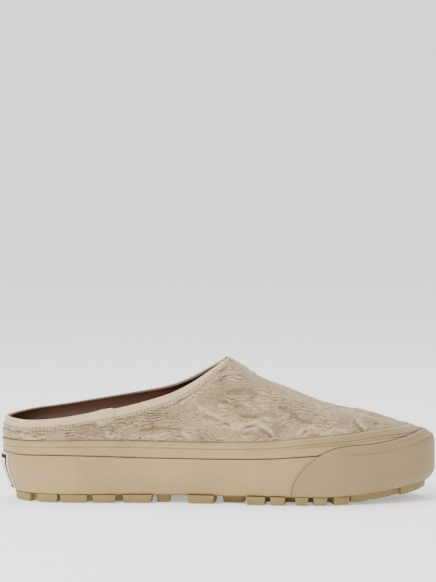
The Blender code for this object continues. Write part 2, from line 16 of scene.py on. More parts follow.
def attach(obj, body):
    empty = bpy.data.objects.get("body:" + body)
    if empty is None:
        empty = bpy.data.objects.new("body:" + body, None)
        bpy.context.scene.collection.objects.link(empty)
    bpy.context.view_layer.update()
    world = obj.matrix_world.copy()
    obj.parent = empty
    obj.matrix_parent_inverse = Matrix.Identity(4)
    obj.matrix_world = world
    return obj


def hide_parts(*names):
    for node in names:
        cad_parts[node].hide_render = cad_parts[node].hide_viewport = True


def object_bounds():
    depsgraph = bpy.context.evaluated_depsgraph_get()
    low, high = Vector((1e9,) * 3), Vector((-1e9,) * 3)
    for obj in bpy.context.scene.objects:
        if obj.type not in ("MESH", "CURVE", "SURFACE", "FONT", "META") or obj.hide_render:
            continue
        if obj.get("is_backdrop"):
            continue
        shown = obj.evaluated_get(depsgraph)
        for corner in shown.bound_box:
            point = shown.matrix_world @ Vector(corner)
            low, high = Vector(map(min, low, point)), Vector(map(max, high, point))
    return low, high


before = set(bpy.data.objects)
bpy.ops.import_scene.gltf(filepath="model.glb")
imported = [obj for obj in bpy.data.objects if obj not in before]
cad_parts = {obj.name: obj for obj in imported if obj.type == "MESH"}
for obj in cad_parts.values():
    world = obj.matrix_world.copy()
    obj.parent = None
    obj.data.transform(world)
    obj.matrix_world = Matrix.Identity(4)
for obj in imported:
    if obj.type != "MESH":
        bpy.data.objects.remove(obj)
cad_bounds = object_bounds()

MM = 0.001

# Tread plate: moulded rubber, pressed and glued into the underside of the cup sole. Its
# lugs come out of the mould with slightly rounded edges and a matt, faintly dusty face.
# Shade is painted into the grooves and along the joins of the tape and the bumper, in a dark colour of
# its own.
TREAD_COLOUR = "#917B4E"
TREAD_SHADE = "#7E693F"
PAINTED_SHADE_COLOUR = "#33281B"
LUG_EDGE = 0.45 * MM


def linear(colour):
    """An sRGB colour in hex as linear values."""
    parts = [int(colour[i : i + 2], 16) / 255 for i in (1, 3, 5)]
    return [c / 12.92 if c <= 0.04045 else ((c + 0.055) / 1.055) ** 2.4 for c in parts] + [1]


def add(material, kind, inputs=None, **settings):
    """A shader node with its settings, each input a value or the socket that feeds it."""
    tree = material.node_tree
    node = tree.nodes.new("ShaderNode" + kind)
    for name, value in settings.items():
        setattr(node, name, value)
    for name, value in (inputs or {}).items():
        if isinstance(value, bpy.types.NodeSocket):
            tree.links.new(value, node.inputs[name])
        else:
            node.inputs[name].default_value = value
    return node


def finish(name, **surface):
    """A new material, and its shader with constant settings on its own sockets."""
    material = bpy.data.materials.new(name)
    material.use_nodes = True
    shader = material.node_tree.nodes["Principled BSDF"]
    for socket, value in surface.items():
        shader.inputs[socket.replace("_", " ")].default_value = value
    return material, shader


def per(size):
    """Scale of a pattern whose grains are this far apart."""
    return 1 / size


def blend_colours(material, share, first, second):
    """Colour between two hex colours, by a share from 0 to 1."""
    mixer = add(material, "Mix", {"Factor": share}, data_type="RGBA")
    mixer.inputs[6].default_value = linear(first)
    mixer.inputs[7].default_value = linear(second)
    return mixer.outputs[2]


def cover(material, shader, colour, relief):
    """Feed a shader its colour and its relief."""
    material.node_tree.links.new(colour, shader.inputs["Base Color"])
    material.node_tree.links.new(relief.outputs[0], shader.inputs["Normal"])


def moulded_rubber(name, colour, shade, roughness, shine=0.45):
    """Vulcanised rubber out of a metal mould: even colour, a satin skin with an orange peel.

    The peel is drawn 0.9 mm wide, coarser than the real one, so that it shows.
    """
    material, shader = finish(name, IOR=1.52, Roughness=roughness, Specular_IOR_Level=shine)
    place = add(material, "TexCoord").outputs["Object"]
    clouds = add(material, "TexNoise", {"Vector": place, "Scale": per(26 * MM), "Detail": 4.0})
    grain = add(material, "TexNoise", {"Vector": place, "Scale": per(0.9 * MM), "Detail": 5.0})
    both = add(material, "Math", {0: clouds.outputs[0], 1: grain.outputs[0]}, operation="ADD")
    share = add(material, "MapRange", {"Value": both.outputs[0], "From Min": 0.75, "From Max": 1.25})
    base = blend_colours(material, share.outputs[0], shade, colour)
    # Painted shade: a share stored on each point of the tape and the bumper darkens the colour in grooves
    # and joins.
    painted_shade = add(material, "Attribute", attribute_name="painted_shade").outputs["Fac"]
    with_painted_shade = add(material, "Mix", {"Factor": painted_shade, 6: base}, data_type="RGBA")
    with_painted_shade.inputs[7].default_value = linear(PAINTED_SHADE_COLOUR)
    relief = add(material, "Bump", {"Height": grain.outputs[0], "Distance": 0.03 * MM, "Strength": 0.5})
    cover(material, shader, with_painted_shade.outputs[2], relief)
    return material


tread_rubber = moulded_rubber("tread_rubber_moulded", TREAD_COLOUR, TREAD_SHADE, 0.68)
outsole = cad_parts["outsole"]
outsole.data.materials.clear()
outsole.data.materials.append(tread_rubber)
weld = outsole.modifiers.new("Weld", "WELD")
weld.merge_threshold = 0.01 * MM
soften = outsole.modifiers.new("Soften", "BEVEL")
soften.width = LUG_EDGE
soften.segments = 2
soften.limit_method = "ANGLE"
soften.angle_limit = math.radians(40)
soften.harden_normals = True
outsole.data.shade_smooth()

# Cup sole: thick vulcanised rubber in one moulding, with an upright wall that leans in under
# the heel, a lip round the tread and a deck inside. It is satin, with a rounded foot.
LENGTH = 298 * MM
HEEL_WIDTH = 72 * MM
WAIST_WIDTH = 72 * MM
BALL_WIDTH = 103 * MM
VAMP_LENGTH = 140 * MM
LUG_HEIGHT = 5.8 * MM
TOE_SPRING = 7.8 * MM
HEEL_UNDERCUT = 8 * MM
CUP_HEIGHT = 31 * MM
CUP_WALL = 3 * MM
DECK_HEIGHT = 26 * MM
LIP_WIDTH = 4.2 * MM
POCKET_DEPTH = 2.5 * MM
TAPE_HEIGHT = 42.5 * MM
TOE_LEAN = 17 * MM
BUMPER_THICKNESS = 1.2 * MM
PATCH_THICKNESS = 1.0 * MM
GAP = 0.3 * MM
BUMPER_GAP = 0.4 * MM
REAR_COLUMNS = 22
FRONT_COLUMNS = 18
SIDE_COLUMNS = REAR_COLUMNS + FRONT_COLUMNS
COLUMNS = 2 * SIDE_COLUMNS
SOLE_LENGTH = LENGTH - PATCH_THICKNESS - BUMPER_THICKNESS - GAP - BUMPER_GAP
THROAT_PLACE = SOLE_LENGTH - VAMP_LENGTH
RUBBER_COLOUR = "#A88D5F"
RUBBER_SHADE = "#9A8053"
FOOT_ROUND = 0.7 * MM
RUBBER_FINENESS = 5
WALL_ROWS = (0, 0.01, 0.025, 0.05, *(k / 24 for k in range(2, 23)), 0.95, 0.975, 0.99, 1)

# Outline of the side wall. Along the sole, the width that the row follows, then how far
# the lateral and medial sides stand from the centre line, as shares of half that width.
OUTLINE = (
    (0.020, HEEL_WIDTH, 0.47, 0.47),
    (0.050, HEEL_WIDTH, 0.71, 0.71),
    (0.100, HEEL_WIDTH, 0.89, 0.89),
    (0.150, HEEL_WIDTH, 0.97, 0.97),
    (0.220, HEEL_WIDTH, 1.00, 1.00),
    (0.300, HEEL_WIDTH, 1.01, 0.97),
    (0.400, WAIST_WIDTH, 1.07, 0.90),
    (0.500, WAIST_WIDTH, 1.21, 0.95),
    (0.600, BALL_WIDTH, 0.95, 0.80),
    (0.680, BALL_WIDTH, 1.00, 0.94),
    (0.740, BALL_WIDTH, 0.99, 1.00),
    (0.800, BALL_WIDTH, 0.93, 0.99),
    (0.860, BALL_WIDTH, 0.82, 0.92),
    (0.920, BALL_WIDTH, 0.62, 0.77),
    (0.960, BALL_WIDTH, 0.43, 0.57),
    (0.985, BALL_WIDTH, 0.21, 0.37),
)
TOE_TIP_SIDEWAYS = 0.08

# Side wall. Along the sole, the undercut at its foot as a share of HEEL_UNDERCUT, how far
# up the cup that lean reaches, how far the tape lies back as a share of TOE_LEAN, the cup's
# rim and the deck as shares of CUP_HEIGHT and DECK_HEIGHT, the tape's top of TAPE_HEIGHT.
WALL = (
    (0.00, 1.00, 0.70, -0.05, 1.07, 1.00, 0.985),
    (0.05, 0.55, 0.70, 0.02, 1.02, 1.00, 0.985),
    (0.12, 0.25, 0.70, 0.09, 1.03, 1.00, 0.995),
    (0.22, 0.35, 0.70, 0.09, 1.02, 1.00, 1.010),
    (0.32, 0.50, 0.70, 0.09, 0.99, 0.99, 1.002),
    (0.46, 0.70, 0.70, 0.10, 0.98, 0.94, 0.990),
    (0.60, 0.50, 0.65, 0.13, 1.00, 0.87, 1.010),
    (0.70, 0.30, 0.60, 0.16, 1.06, 0.85, 1.075),
    (0.80, 0.15, 0.40, 0.22, 1.13, 0.86, 1.130),
    (0.88, 0.25, 0.30, 0.40, 1.19, 0.90, 1.185),
    (0.95, 0.40, 0.25, 0.68, 1.22, 0.95, 1.200),
    (1.00, 0.50, 0.25, 1.00, 1.23, 1.00, 1.205),
)
UNDERCUT_CURVE = 1.3
SPRING_START = 0.755
SPRING_CURVE = 1.4


def read(table, column, at):
    """One column of a table as a smooth curve that doesn't overshoot its rows."""
    places = [row[0] for row in table]
    values = [row[column] for row in table]
    at = min(max(at, places[0]), places[-1])
    i = sum(place <= at for place in places[1:-1])
    slopes = [(values[k + 1] - values[k]) / (places[k + 1] - places[k]) for k in range(len(places) - 1)]

    def bend(k):
        if k == 0 or k == len(places) - 1:
            return slopes[min(k, len(slopes) - 1)]
        before, after = slopes[k - 1], slopes[k]
        if before * after <= 0:
            return 0.0
        return 2 * before * after / (before + after)

    step = places[i + 1] - places[i]
    t = (at - places[i]) / step
    start = values[i] * (1 + 2 * t) + bend(i) * step * t
    end = values[i + 1] * (3 - 2 * t) - bend(i + 1) * step * (1 - t)
    return start * (1 - t) ** 2 + end * t * t


def mix(a, b, share):
    return a + (b - a) * share


def within(value, low=0.0, high=1.0):
    return min(max(value, low), high)


def rounded(near, radius):
    """How far a rounded edge falls back from its face, at a distance from the edge."""
    edge = within(1 - near / radius)
    return radius * (1 - math.sqrt(1 - edge * edge))


class Path:
    """One half of a smooth closed curve, measured by its length."""

    def __init__(self, points):
        self.points = points
        steps = np.linalg.norm(np.diff(points[:, :3], axis=0), axis=1)
        self.runs = np.concatenate([[0.0], np.cumsum(steps)])
        self.length = self.runs[-1]

    def at(self, run):
        return np.array([np.interp(run, self.runs, column) for column in self.points.T])

    def run_at(self, x):
        return float(np.interp(x, self.points[:, 0], self.runs))


def halves(back, lateral, front, medial, steps=24):
    """The lateral and medial halves of a closed spline through these points."""
    knots = [np.array(k, float) for k in (back, *lateral, front, *reversed(medial))]
    count = len(knots)

    def span(i):
        """Smooth stretch after knot i, with knots spaced by the root of their distance."""
        a, b, c, d = (knots[(i + k) % count] for k in (-1, 0, 1, 2))
        ab, bc, cd = (math.sqrt(np.linalg.norm((q - p)[:2])) for p, q in ((a, b), (b, c), (c, d)))
        leave = (b - a) / ab - (c - a) / (ab + bc) + (c - b) / bc
        arrive = (c - b) / bc - (d - b) / (bc + cd) + (d - c) / cd
        for k in range(steps):
            t = k / steps
            yield (
                b * (2 * t**3 - 3 * t**2 + 1)
                + c * (3 * t**2 - 2 * t**3)
                + leave * bc * (t**3 - 2 * t**2 + t)
                + arrive * bc * (t**3 - t**2)
            )

    points = [p for i in range(count) for p in span(i)]
    turn = (len(lateral) + 1) * steps
    there = np.array(points[: turn + 1])
    home = np.array((points[turn:] + points[:1])[::-1])
    return Path(there), Path(home)


def sole_outline():
    """Both halves of the outline of the side wall, from the back of the heel to the toe."""

    def row(along, width, share):
        return (along * SOLE_LENGTH, share * width / 2)

    lateral = [row(along, width, -share) for along, width, share, _ in OUTLINE]
    medial = [row(along, width, share) for along, width, _, share in OUTLINE]
    toe = (SOLE_LENGTH, TOE_TIP_SIDEWAYS * BALL_WIDTH / 2)
    return halves((0, 0), lateral, toe, medial)


LATERAL, MEDIAL = sole_outline()
FRONT = SOLE_LENGTH + BUMPER_GAP + BUMPER_THICKNESS
BACK = -(GAP + PATCH_THICKNESS)
SIDEWAYS = LATERAL.points[:, 1].min() + MEDIAL.points[:, 1].max()
CENTRE = Vector((-(FRONT + BACK) / 2, -SIDEWAYS / 2, 0))


def station(place):
    """Point of the outline at a station, and the direction into the shoe there."""
    place = place % COLUMNS
    lateral = place <= SIDE_COLUMNS
    side = LATERAL if lateral else MEDIAL
    count = place if lateral else COLUMNS - place
    throat = side.run_at(THROAT_PLACE)
    if count <= REAR_COLUMNS:
        run = throat * count / REAR_COLUMNS
    else:
        run = mix(throat, side.length, (count - REAR_COLUMNS) / FRONT_COLUMNS)
    point = side.at(run)
    ahead = side.at(min(run + MM, side.length)) - side.at(max(run - MM, 0))
    if run < MM:
        inward = np.array((1.0, 0.0))
    elif run > side.length - MM:
        inward = np.array((-1.0, 0.0))
    else:
        inward = np.array((-ahead[1], ahead[0])) / np.linalg.norm(ahead)
        inward *= 1 if lateral else -1
    return point, inward


def place_at(side, x):
    """The station of one side at a distance along the sole."""
    throat = side.run_at(THROAT_PLACE)
    run = side.run_at(x)
    if run <= throat:
        count = REAR_COLUMNS * run / throat
    else:
        count = REAR_COLUMNS + FRONT_COLUMNS * (run - throat) / (side.length - throat)
    return count if side is LATERAL else COLUMNS - count


def lift(x):
    """How far the toe spring raises the sole."""
    run = max(0.0, x / SOLE_LENGTH - SPRING_START) / (1 - SPRING_START)
    return TOE_SPRING * run**SPRING_CURVE


def undercut(x):
    """How far in from the outline the foot of the wall stands."""
    return HEEL_UNDERCUT * read(WALL, 1, x / SOLE_LENGTH)


def wall_foot(x):
    return LUG_HEIGHT + lift(x)


def cup_rim(x):
    return CUP_HEIGHT * read(WALL, 4, x / SOLE_LENGTH)


def deck(x):
    return DECK_HEIGHT * read(WALL, 5, x / SOLE_LENGTH)


def tape_top(x):
    return TAPE_HEIGHT * read(WALL, 6, x / SOLE_LENGTH)


def wall_inset(x, z):
    """How far in from the outline the outside of the wall stands at a height."""
    foot, rim, top = wall_foot(x), cup_rim(x), tape_top(x)
    if z > rim:
        return TOE_LEAN * read(WALL, 3, x / SOLE_LENGTH) * ((z - rim) / (top - rim)) ** 2
    knee = read(WALL, 2, x / SOLE_LENGTH)
    short = max(0.0, 1 - (z - foot) / (rim - foot) / knee)
    return undercut(x) * min(short, 1.0) ** UNDERCUT_CURVE


def wall_tilt(x, z):
    """Angle between the outside of the wall and upright at a height."""
    step = 0.1 * MM
    return math.atan((wall_inset(x, z + step) - wall_inset(x, z - step)) / (2 * step))


def inset_point(place, inset, z):
    """Point at a station, so far in from the outline."""
    point, inward = station(place)
    return Vector((*(point + inward * inset), z))


def wall_point(place, z, out=0.0):
    """Point of the outside of the wall, moved out square to it."""
    x = station(place)[0][0]
    tilt = wall_tilt(x, z)
    return inset_point(place, wall_inset(x, z) - out * math.cos(tilt), z + out * math.sin(tilt))


def places(fineness):
    """Stations round the shoe, several to each of the frame's."""
    return [k / fineness for k in range(COLUMNS * fineness)]


def ring(make, fineness):
    """One loop of points round the shoe, from a function of the station and its x."""
    return [make(place, station(place)[0][0]) for place in places(fineness)]


def add_piece(name, points, faces, material, slot, replaced=()):
    """A piece from points and faces, riding on the shoe and standing for its nodes."""
    mesh = bpy.data.meshes.new(name)
    mesh.from_pydata([Vector(p) + CENTRE for p in points], [], faces)
    mesh.shade_smooth()
    mesh.set_sharp_from_angle(angle=math.radians(50))
    mesh.materials.append(material)
    obj = bpy.data.objects.new(name, mesh)
    bpy.context.scene.collection.objects.link(obj)
    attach(obj, "root")
    if replaced:
        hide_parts(*replaced)
    return obj


def banded(rows, closed, capped):
    """Faces between rows of equal length, closed round each row or capped at both ends."""
    count = len(rows[0])
    points = [p for row in rows for p in row]
    faces = []
    for j in range(len(rows) if closed else len(rows) - 1):
        a, b = j * count, (j + 1) % len(rows) * count
        faces += [(a + i, a + (i + 1) % count, b + (i + 1) % count, b + i) for i in range(count)]
    if capped:
        end = (len(rows) - 1) * count
        faces.append(tuple(reversed(range(count))))
        faces.append(tuple(range(end, end + count)))
    return points, faces


def across(count, start, flip):
    """Faces that close a ring round the shoe from side to side."""
    for i in range(count // 2):
        corners = [i, i + 1, (count - i - 1) % count, (count - i) % count]
        face = [start + k for k in dict.fromkeys(corners)]
        yield tuple(face[::-1] if flip else face)


def stacked(rings):
    """Points and faces of a solid between rings round the shoe, closed across at both ends."""
    count = len(rings[0])
    points, faces = banded(rings, closed=False, capped=False)
    faces += across(count, 0, True)
    faces += across(count, (len(rings) - 1) * count, False)
    return points, faces


def cup_sole():
    """The cup, its foot rounded over and its rim pulled in where the tape's edge sits on it."""

    def lip(place, x, up):
        return inset_point(place, undercut(x) + LIP_WIDTH, wall_foot(x) + up)

    def wall(place, x, share):
        z = mix(wall_foot(x), cup_rim(x), share)
        high = max(0.0, 1 - (cup_rim(x) - z) / FOOT_ROUND)
        round_off = rounded(z - wall_foot(x), FOOT_ROUND) + 0.5 * FOOT_ROUND * high * high
        return wall_point(place, z, -round_off)

    rows = [ring(lambda p, x, up=up: lip(p, x, up), RUBBER_FINENESS) for up in (POCKET_DEPTH, 0)]
    rows += [ring(lambda p, x, s=share: wall(p, x, s), RUBBER_FINENESS) for share in WALL_ROWS]
    rows.append(ring(lambda p, x: inset_point(p, CUP_WALL, cup_rim(x)), RUBBER_FINENESS))
    rows.append(ring(lambda p, x: inset_point(p, CUP_WALL, deck(x)), RUBBER_FINENESS))
    return stacked(rows)


sole_rubber = moulded_rubber("sole_rubber_moulded", RUBBER_COLOUR, RUBBER_SHADE, 0.5)
add_piece("cup_sole", *cup_sole(), sole_rubber, "rubber", ["midsole"])

# Rims of the tread: moulded in one with the lugs. They run behind them round the heel, under
# the ball and round the toe, just clear of the ground, and close the notches between them.
RIM_WIDTH = 3 * MM
RIM_CLEAR = 0.8 * MM
HEEL_RIM_END = 84 * MM
BALL_RIM_START = 167 * MM
TOE_RIM_START = 238 * MM
RIM_STEPS = 60
# Each rim: its name, where it starts and ends round the shoe, and how far in it stands.
RIMS = (
    ("heel", place_at(MEDIAL, HEEL_RIM_END) - COLUMNS, place_at(LATERAL, HEEL_RIM_END), 4.5 * MM),
    ("lateral", place_at(LATERAL, BALL_RIM_START), place_at(LATERAL, TOE_RIM_START), 12 * MM),
    ("toe", place_at(LATERAL, TOE_RIM_START), place_at(MEDIAL, TOE_RIM_START), 3 * MM),
    ("medial", place_at(MEDIAL, TOE_RIM_START), place_at(MEDIAL, BALL_RIM_START), 12 * MM),
)


def tread_rim(first, last, inset):
    """A low wall between two places round the shoe."""
    rows = []
    for k in range(RIM_STEPS + 1):
        place = mix(first, last, k / RIM_STEPS)
        x = station(place)[0][0]
        foot = wall_foot(x)
        low = foot - LUG_HEIGHT + RIM_CLEAR
        near = wall_inset(x, foot) + inset
        section = ((near, foot), (near, low), (near + RIM_WIDTH, low), (near + RIM_WIDTH, foot))
        rows.append([inset_point(place, far_in, z) for far_in, z in section])
    return banded(rows, closed=False, capped=True)


for name, first, last, inset in RIMS:
    add_piece(f"tread_rim_{name}", *tread_rim(first, last, inset), tread_rubber, "tread_rubber")

# Foxing tape: calendered rubber strip, rolled on hot round the top of the cup and the foot of
# the upper. The roller leaves two grooves all round it, and two more towards the toe.
TAPE_THICKNESS = 3 * MM
TAPE_EDGE = 1.2 * MM
TAPE_BULGE = 0.35 * MM
TAPE_ROUND = 1.0 * MM
TAPE_HEIGHTS = (0, 0.02, 0.05, *(k / 44 for k in range(4, 43)), 0.97, 0.985, 1)
# How far the painted shade reaches over the tape's lower edge, its top edge and the bumper's top.
PAINTED_SHADE_REACH = (0.8 * MM, 0.6 * MM, 0.7 * MM)

# Top edge of the toe bumper, which covers the tape's front: along the sole, of TAPE_HEIGHT.
BUMPER_TOP = (
    (0.722, 0.760),
    (0.748, 0.856),
    (0.782, 0.925),
    (0.866, 0.965),
    (0.940, 1.045),
    (0.985, 1.095),
    (1.000, 1.100),
)
# Slanted ends of the bumper, from its foot to its top: share of that height, along the sole.
BUMPER_SEAM = (
    (0.000, 0.664),
    (0.300, 0.669),
    (0.525, 0.679),
    (0.755, 0.696),
    (1.000, 0.722),
)

# Grooves of the tape: how far under its top edge, how deep and how wide, in millimetres,
# and from where to where along the sole each comes in.
TAPE_GROOVES = (
    (2.1, 0.30, 0.40, -0.10, 0.00),
    (4.7, 0.55, 0.45, -0.10, 0.00),
    (3.4, 0.30, 0.30, 0.60, 0.75),
    (6.4, 0.50, 0.40, 0.55, 0.70),
)


def tape_thickness(share):
    """Thickness at a height, from the tape's foot to its top."""
    return mix(TAPE_THICKNESS, TAPE_EDGE, share)


def grooves(below_top, along):
    """Depth of the tape's grooves at a height, in millimetres."""
    total = 0.0
    for place, depth, width, start, full in TAPE_GROOVES:
        share = within((along - start) / (full - start))
        total += share * depth * math.exp(-(((below_top / MM - place) / width) ** 2))
    return total


def tape_relief(below_top, above_foot, along):
    """How far the tape's face stands out of the wall at a height."""
    out = -grooves(below_top, along) * MM
    lower = within((below_top - 5.4 * MM) / (4 * MM))
    out += TAPE_BULGE * math.sin(math.pi * lower / 2) * min(above_foot / (2 * MM), 1.0)
    return out - rounded(below_top, TAPE_ROUND) - rounded(above_foot, TAPE_ROUND)


def painted_tape_shade(below_top, above_foot, along):
    """How much shade is painted on the tape: in its grooves, along both its edges and along the bumper's
    top.
    """
    low, high, over_bumper = PAINTED_SHADE_REACH
    bumper_line = TAPE_HEIGHT * read(BUMPER_TOP, 1, along) - cup_rim(along * SOLE_LENGTH)
    # Painted shade: in the V at the tape's foot, along its top edge towards the heel, just above the
    # bumper's top edge and in its grooves.
    painted_shade = math.exp(-((above_foot / low) ** 4))
    painted_shade += 0.95 * math.exp(-((below_top / high) ** 2)) * within((0.75 - along) / 0.2)
    if along > BUMPER_SEAM[-1][1]:
        painted_shade += 0.85 * math.exp(-(((above_foot - bumper_line) / over_bumper) ** 2))
    return min(painted_shade + (0.4 + 0.8 * along**2) * grooves(below_top, along), 1.0)


def foxing_tape():
    """Points and faces of the tape, and how much shade is painted at each point."""
    rows, painted_shade = [], []
    for place in places(RUBBER_FINENESS):
        x = station(place)[0][0]
        foot, top = cup_rim(x) + 0.1 * MM, tape_top(x)
        heights = [mix(foot, top, share) for share in TAPE_HEIGHTS]
        along = x / SOLE_LENGTH
        outside = [wall_point(place, z, tape_relief(top - z, z - foot, along)) for z in heights]
        inside = [
            wall_point(place, z, -tape_thickness((z - foot) / (top - foot)))
            for z in heights[:: len(heights) // 4]
        ]
        rows.append(outside + inside[::-1])
        painted_shade += [painted_tape_shade(top - z, z - foot, along) for z in heights] + [0.0] * len(inside)
    return (*banded(rows, closed=True, capped=False), painted_shade)


def settle(obj, name, values):
    """Values for a shader to read, one for each point of a piece."""
    obj.data.attributes.new(name, "FLOAT", "POINT").data.foreach_set("value", values)


points, faces, painted_shade = foxing_tape()
tape = add_piece("foxing_tape_rolled", points, faces, sole_rubber, "rubber", ["foxing_tape"])
settle(tape, "painted_shade", painted_shade)

# Toe bumper: a second strip of the same rubber, cut with slanted ends and rolled over the
# toe. A bead runs along under its top edge and fades before the ends.
BUMPER_COLOUR = "#968058"
BUMPER_SHADE = "#8C764E"
BEAD_BELOW_TOP = 4.8 * MM
BEAD_HEIGHT = 0.9 * MM
BEAD_WIDTH = 0.55 * MM
BUMPER_ROUND = 1.4 * MM
TOE_ROUND = 1.5 * MM
END_ROUND = 0.8 * MM
BUMPER_RUN = 120 * MM
BUMPER_COLUMNS = 160
BUMPER_ROWS = (0, 0.01, 0.025, 0.05, *(k / 44 for k in range(3, 43)), 0.97, 0.985, 0.995, 1)


def bumper_stations(share):
    """Stations along one row of the bumper, between its slanted ends."""
    seam = read(BUMPER_SEAM, 1, share) * SOLE_LENGTH
    first, last = place_at(LATERAL, seam), place_at(MEDIAL, seam)
    count = BUMPER_COLUMNS
    return [(mix(first, last, k / count), min(k, count - k) / count) for k in range(count + 1)]


def toe_bumper():
    """Points and faces of the bumper, and how much shade is painted at each point."""
    rows, painted_shade_rows = [], []
    for share in BUMPER_ROWS:
        outside, inside, painted_shade_row = [], [], []
        for place, from_end in bumper_stations(share):
            x = station(place)[0][0]
            top = TAPE_HEIGHT * read(BUMPER_TOP, 1, x / SOLE_LENGTH)
            foot = wall_foot(x)
            z = mix(foot, top, share)
            soft = mix(BUMPER_ROUND, TOE_ROUND, within((x / SOLE_LENGTH - 0.85) / 0.15))
            out = BUMPER_GAP + BUMPER_THICKNESS - rounded(top - z, soft) - rounded(z - foot, soft)
            out -= rounded(from_end * BUMPER_RUN, END_ROUND)
            below_bead = (top - z - BEAD_BELOW_TOP) / BEAD_WIDTH
            full = within((from_end - 0.07) / 0.08)
            out += BEAD_HEIGHT * math.exp(-(below_bead**2)) * full
            outside.append(wall_point(place, z, out))
            inside.append(wall_point(place, z, 0.1 * MM))
            # Painted shade just under the bead, and a dark line painted along the slanted ends.
            under = 0.34 * math.exp(-((below_bead - 1.6) ** 2))
            end = 0.7 * math.exp(-((from_end * BUMPER_RUN / (0.3 * MM)) ** 2))
            painted_shade_row.append(max(under * full, end))
        rows.append((outside, inside))
        painted_shade_rows.append(painted_shade_row)
    outer, inner = zip(*rows)
    sections = [list(out) + list(back)[::-1] for out, back in zip(zip(*outer), zip(*inner))]
    painted_shade = [value for column in zip(*painted_shade_rows) for value in [*column, *[0.0] * len(column)]]
    return (*banded(sections, closed=False, capped=True), painted_shade)


bumper_rubber = moulded_rubber("bumper_rubber_moulded", BUMPER_COLOUR, BUMPER_SHADE, 0.62)
points, faces, painted_shade = toe_bumper()
bumper = add_piece("toe_bumper_rolled", points, faces, bumper_rubber, "bumper_rubber", ["toe_bumper"])
settle(bumper, "painted_shade", painted_shade)

# Heel patch: a thin off-white rubber plate, moulded with a dark inlaid frame line and glued
# to the back of the cup. It is bare inside the line.
PATCH_WIDTH = 31 * MM
PATCH_FOOT = 7.5 * MM
PATCH_TOP = 31.5 * MM
PATCH_COLOUR = "#DACFB4"
PATCH_SHADE = "#CCC0A4"
LINE_COLOUR = "#2A2621"
LINE_SHADE = "#3A352E"
LINE_INSET = 0.6 * MM
LINE_WIDTH = 2.4 * MM
PATCH_ROUND = 0.5 * MM
PATCH_COLUMNS = 48
PATCH_ROWS = 36


def heel_patch():
    """Points and faces of the patch, and which faces are its frame line."""
    reach = PATCH_WIDTH / 2 / (LATERAL.run_at(THROAT_PLACE) / REAR_COLUMNS)
    columns, heights = PATCH_COLUMNS, PATCH_ROWS
    rows = []
    for column in range(columns + 1):
        place = mix(-reach, reach, column / columns)
        outside, inside = [], []
        for k in range(heights + 1):
            z = mix(PATCH_FOOT, PATCH_TOP, k / heights)
            side = min(column, columns - column) / columns * PATCH_WIDTH
            edge = within(1 - min(side, z - PATCH_FOOT, PATCH_TOP - z) / PATCH_ROUND)
            out = GAP + PATCH_THICKNESS - 0.4 * MM * edge * edge
            outside.append(wall_point(place, z, out))
            inside.append(wall_point(place, z, 0.1 * MM))
        rows.append(outside + inside[::-1])
    points, faces = banded(rows, closed=False, capped=True)
    loop = 2 * (heights + 1)
    line = []
    for face in faces:
        column, k = divmod(min(face), loop)
        z = (k + 0.5) / heights * (PATCH_TOP - PATCH_FOOT)
        side = min(column + 0.5, columns - column - 0.5) / columns * PATCH_WIDTH
        near = min(side, z, PATCH_TOP - PATCH_FOOT - z)
        line.append(len(face) == 4 and LINE_INSET <= near <= LINE_INSET + LINE_WIDTH)
    return points, faces, line


patch_rubber = moulded_rubber("patch_rubber_moulded", PATCH_COLOUR, PATCH_SHADE, 0.8)
line_rubber = moulded_rubber("line_rubber_inlaid", LINE_COLOUR, LINE_SHADE, 0.95, shine=0.1)
points, faces, line = heel_patch()
patch = add_piece("heel_patch_bare", points, faces, patch_rubber, "patch_rubber", ["heel_patch"])
patch.data.materials.append(line_rubber)
for polygon, dark in zip(patch.data.polygons, line):
    polygon.material_index = int(dark)

# Footbed: foam board under smooth brown lining leather, dropped into the cup. Its edge is
# hidden by the upper, and the heel has a shallow seat.
UPPER_WALL = 2.2 * MM
INSOLE_THICKNESS = 5 * MM
LEATHER_COLOUR = "#5C3D2C"
LEATHER_SHADE = "#4B3022"
SEAT_DEPTH = 1.2 * MM
SEAT_PLACE = 0.14
SEAT_REACH = 0.16
FOOTBED_ROUND = 0.6 * MM
FOOTBED_REACH = 30 * MM


def smooth_leather(name, colour, shade):
    """Pigmented lining leather, glazed: even brown, pebbled grain 0.8 mm wide, a low sheen."""
    material, shader = finish(name, IOR=1.5, Roughness=0.5, Specular_IOR_Level=0.4)
    place = add(material, "TexCoord").outputs["Object"]
    grain = {"Vector": place, "Scale": per(0.8 * MM)}
    pebbles = add(material, "TexVoronoi", grain, feature="DISTANCE_TO_EDGE")
    clouds = add(material, "TexNoise", {"Vector": place, "Scale": per(18 * MM), "Detail": 5.0})
    base = blend_colours(material, clouds.outputs[0], shade, colour)
    relief = add(material, "Bump", {"Height": pebbles.outputs[0], "Distance": 0.08 * MM, "Strength": 0.6})
    cover(material, shader, base, relief)
    return material


def footbed():
    """The board's foot and side, then its top in rings towards the dished middle."""
    inset = CUP_WALL + UPPER_WALL + 2 * GAP

    def side(p, x, up):
        return inset_point(p, inset, deck(x) + GAP + up)

    def dish(p, x, share):
        low = SEAT_DEPTH * share * max(0.0, 1 - abs(x / SOLE_LENGTH - SEAT_PLACE) / SEAT_REACH)
        return inset_point(p, inset + FOOTBED_REACH * share, deck(x) + GAP + INSOLE_THICKNESS - low)

    heights = (0, INSOLE_THICKNESS - FOOTBED_ROUND)
    rows = [ring(lambda p, x, up=up: side(p, x, up), 2) for up in heights]
    rows += [ring(lambda p, x, s=share: dish(p, x, s), 2) for share in (0.02, 0.3, 0.55)]
    return stacked(rows)


lining_leather = smooth_leather("lining_leather_glazed", LEATHER_COLOUR, LEATHER_SHADE)
add_piece("footbed_covered", *footbed(), lining_leather, "footbed_leather", ["insole"])

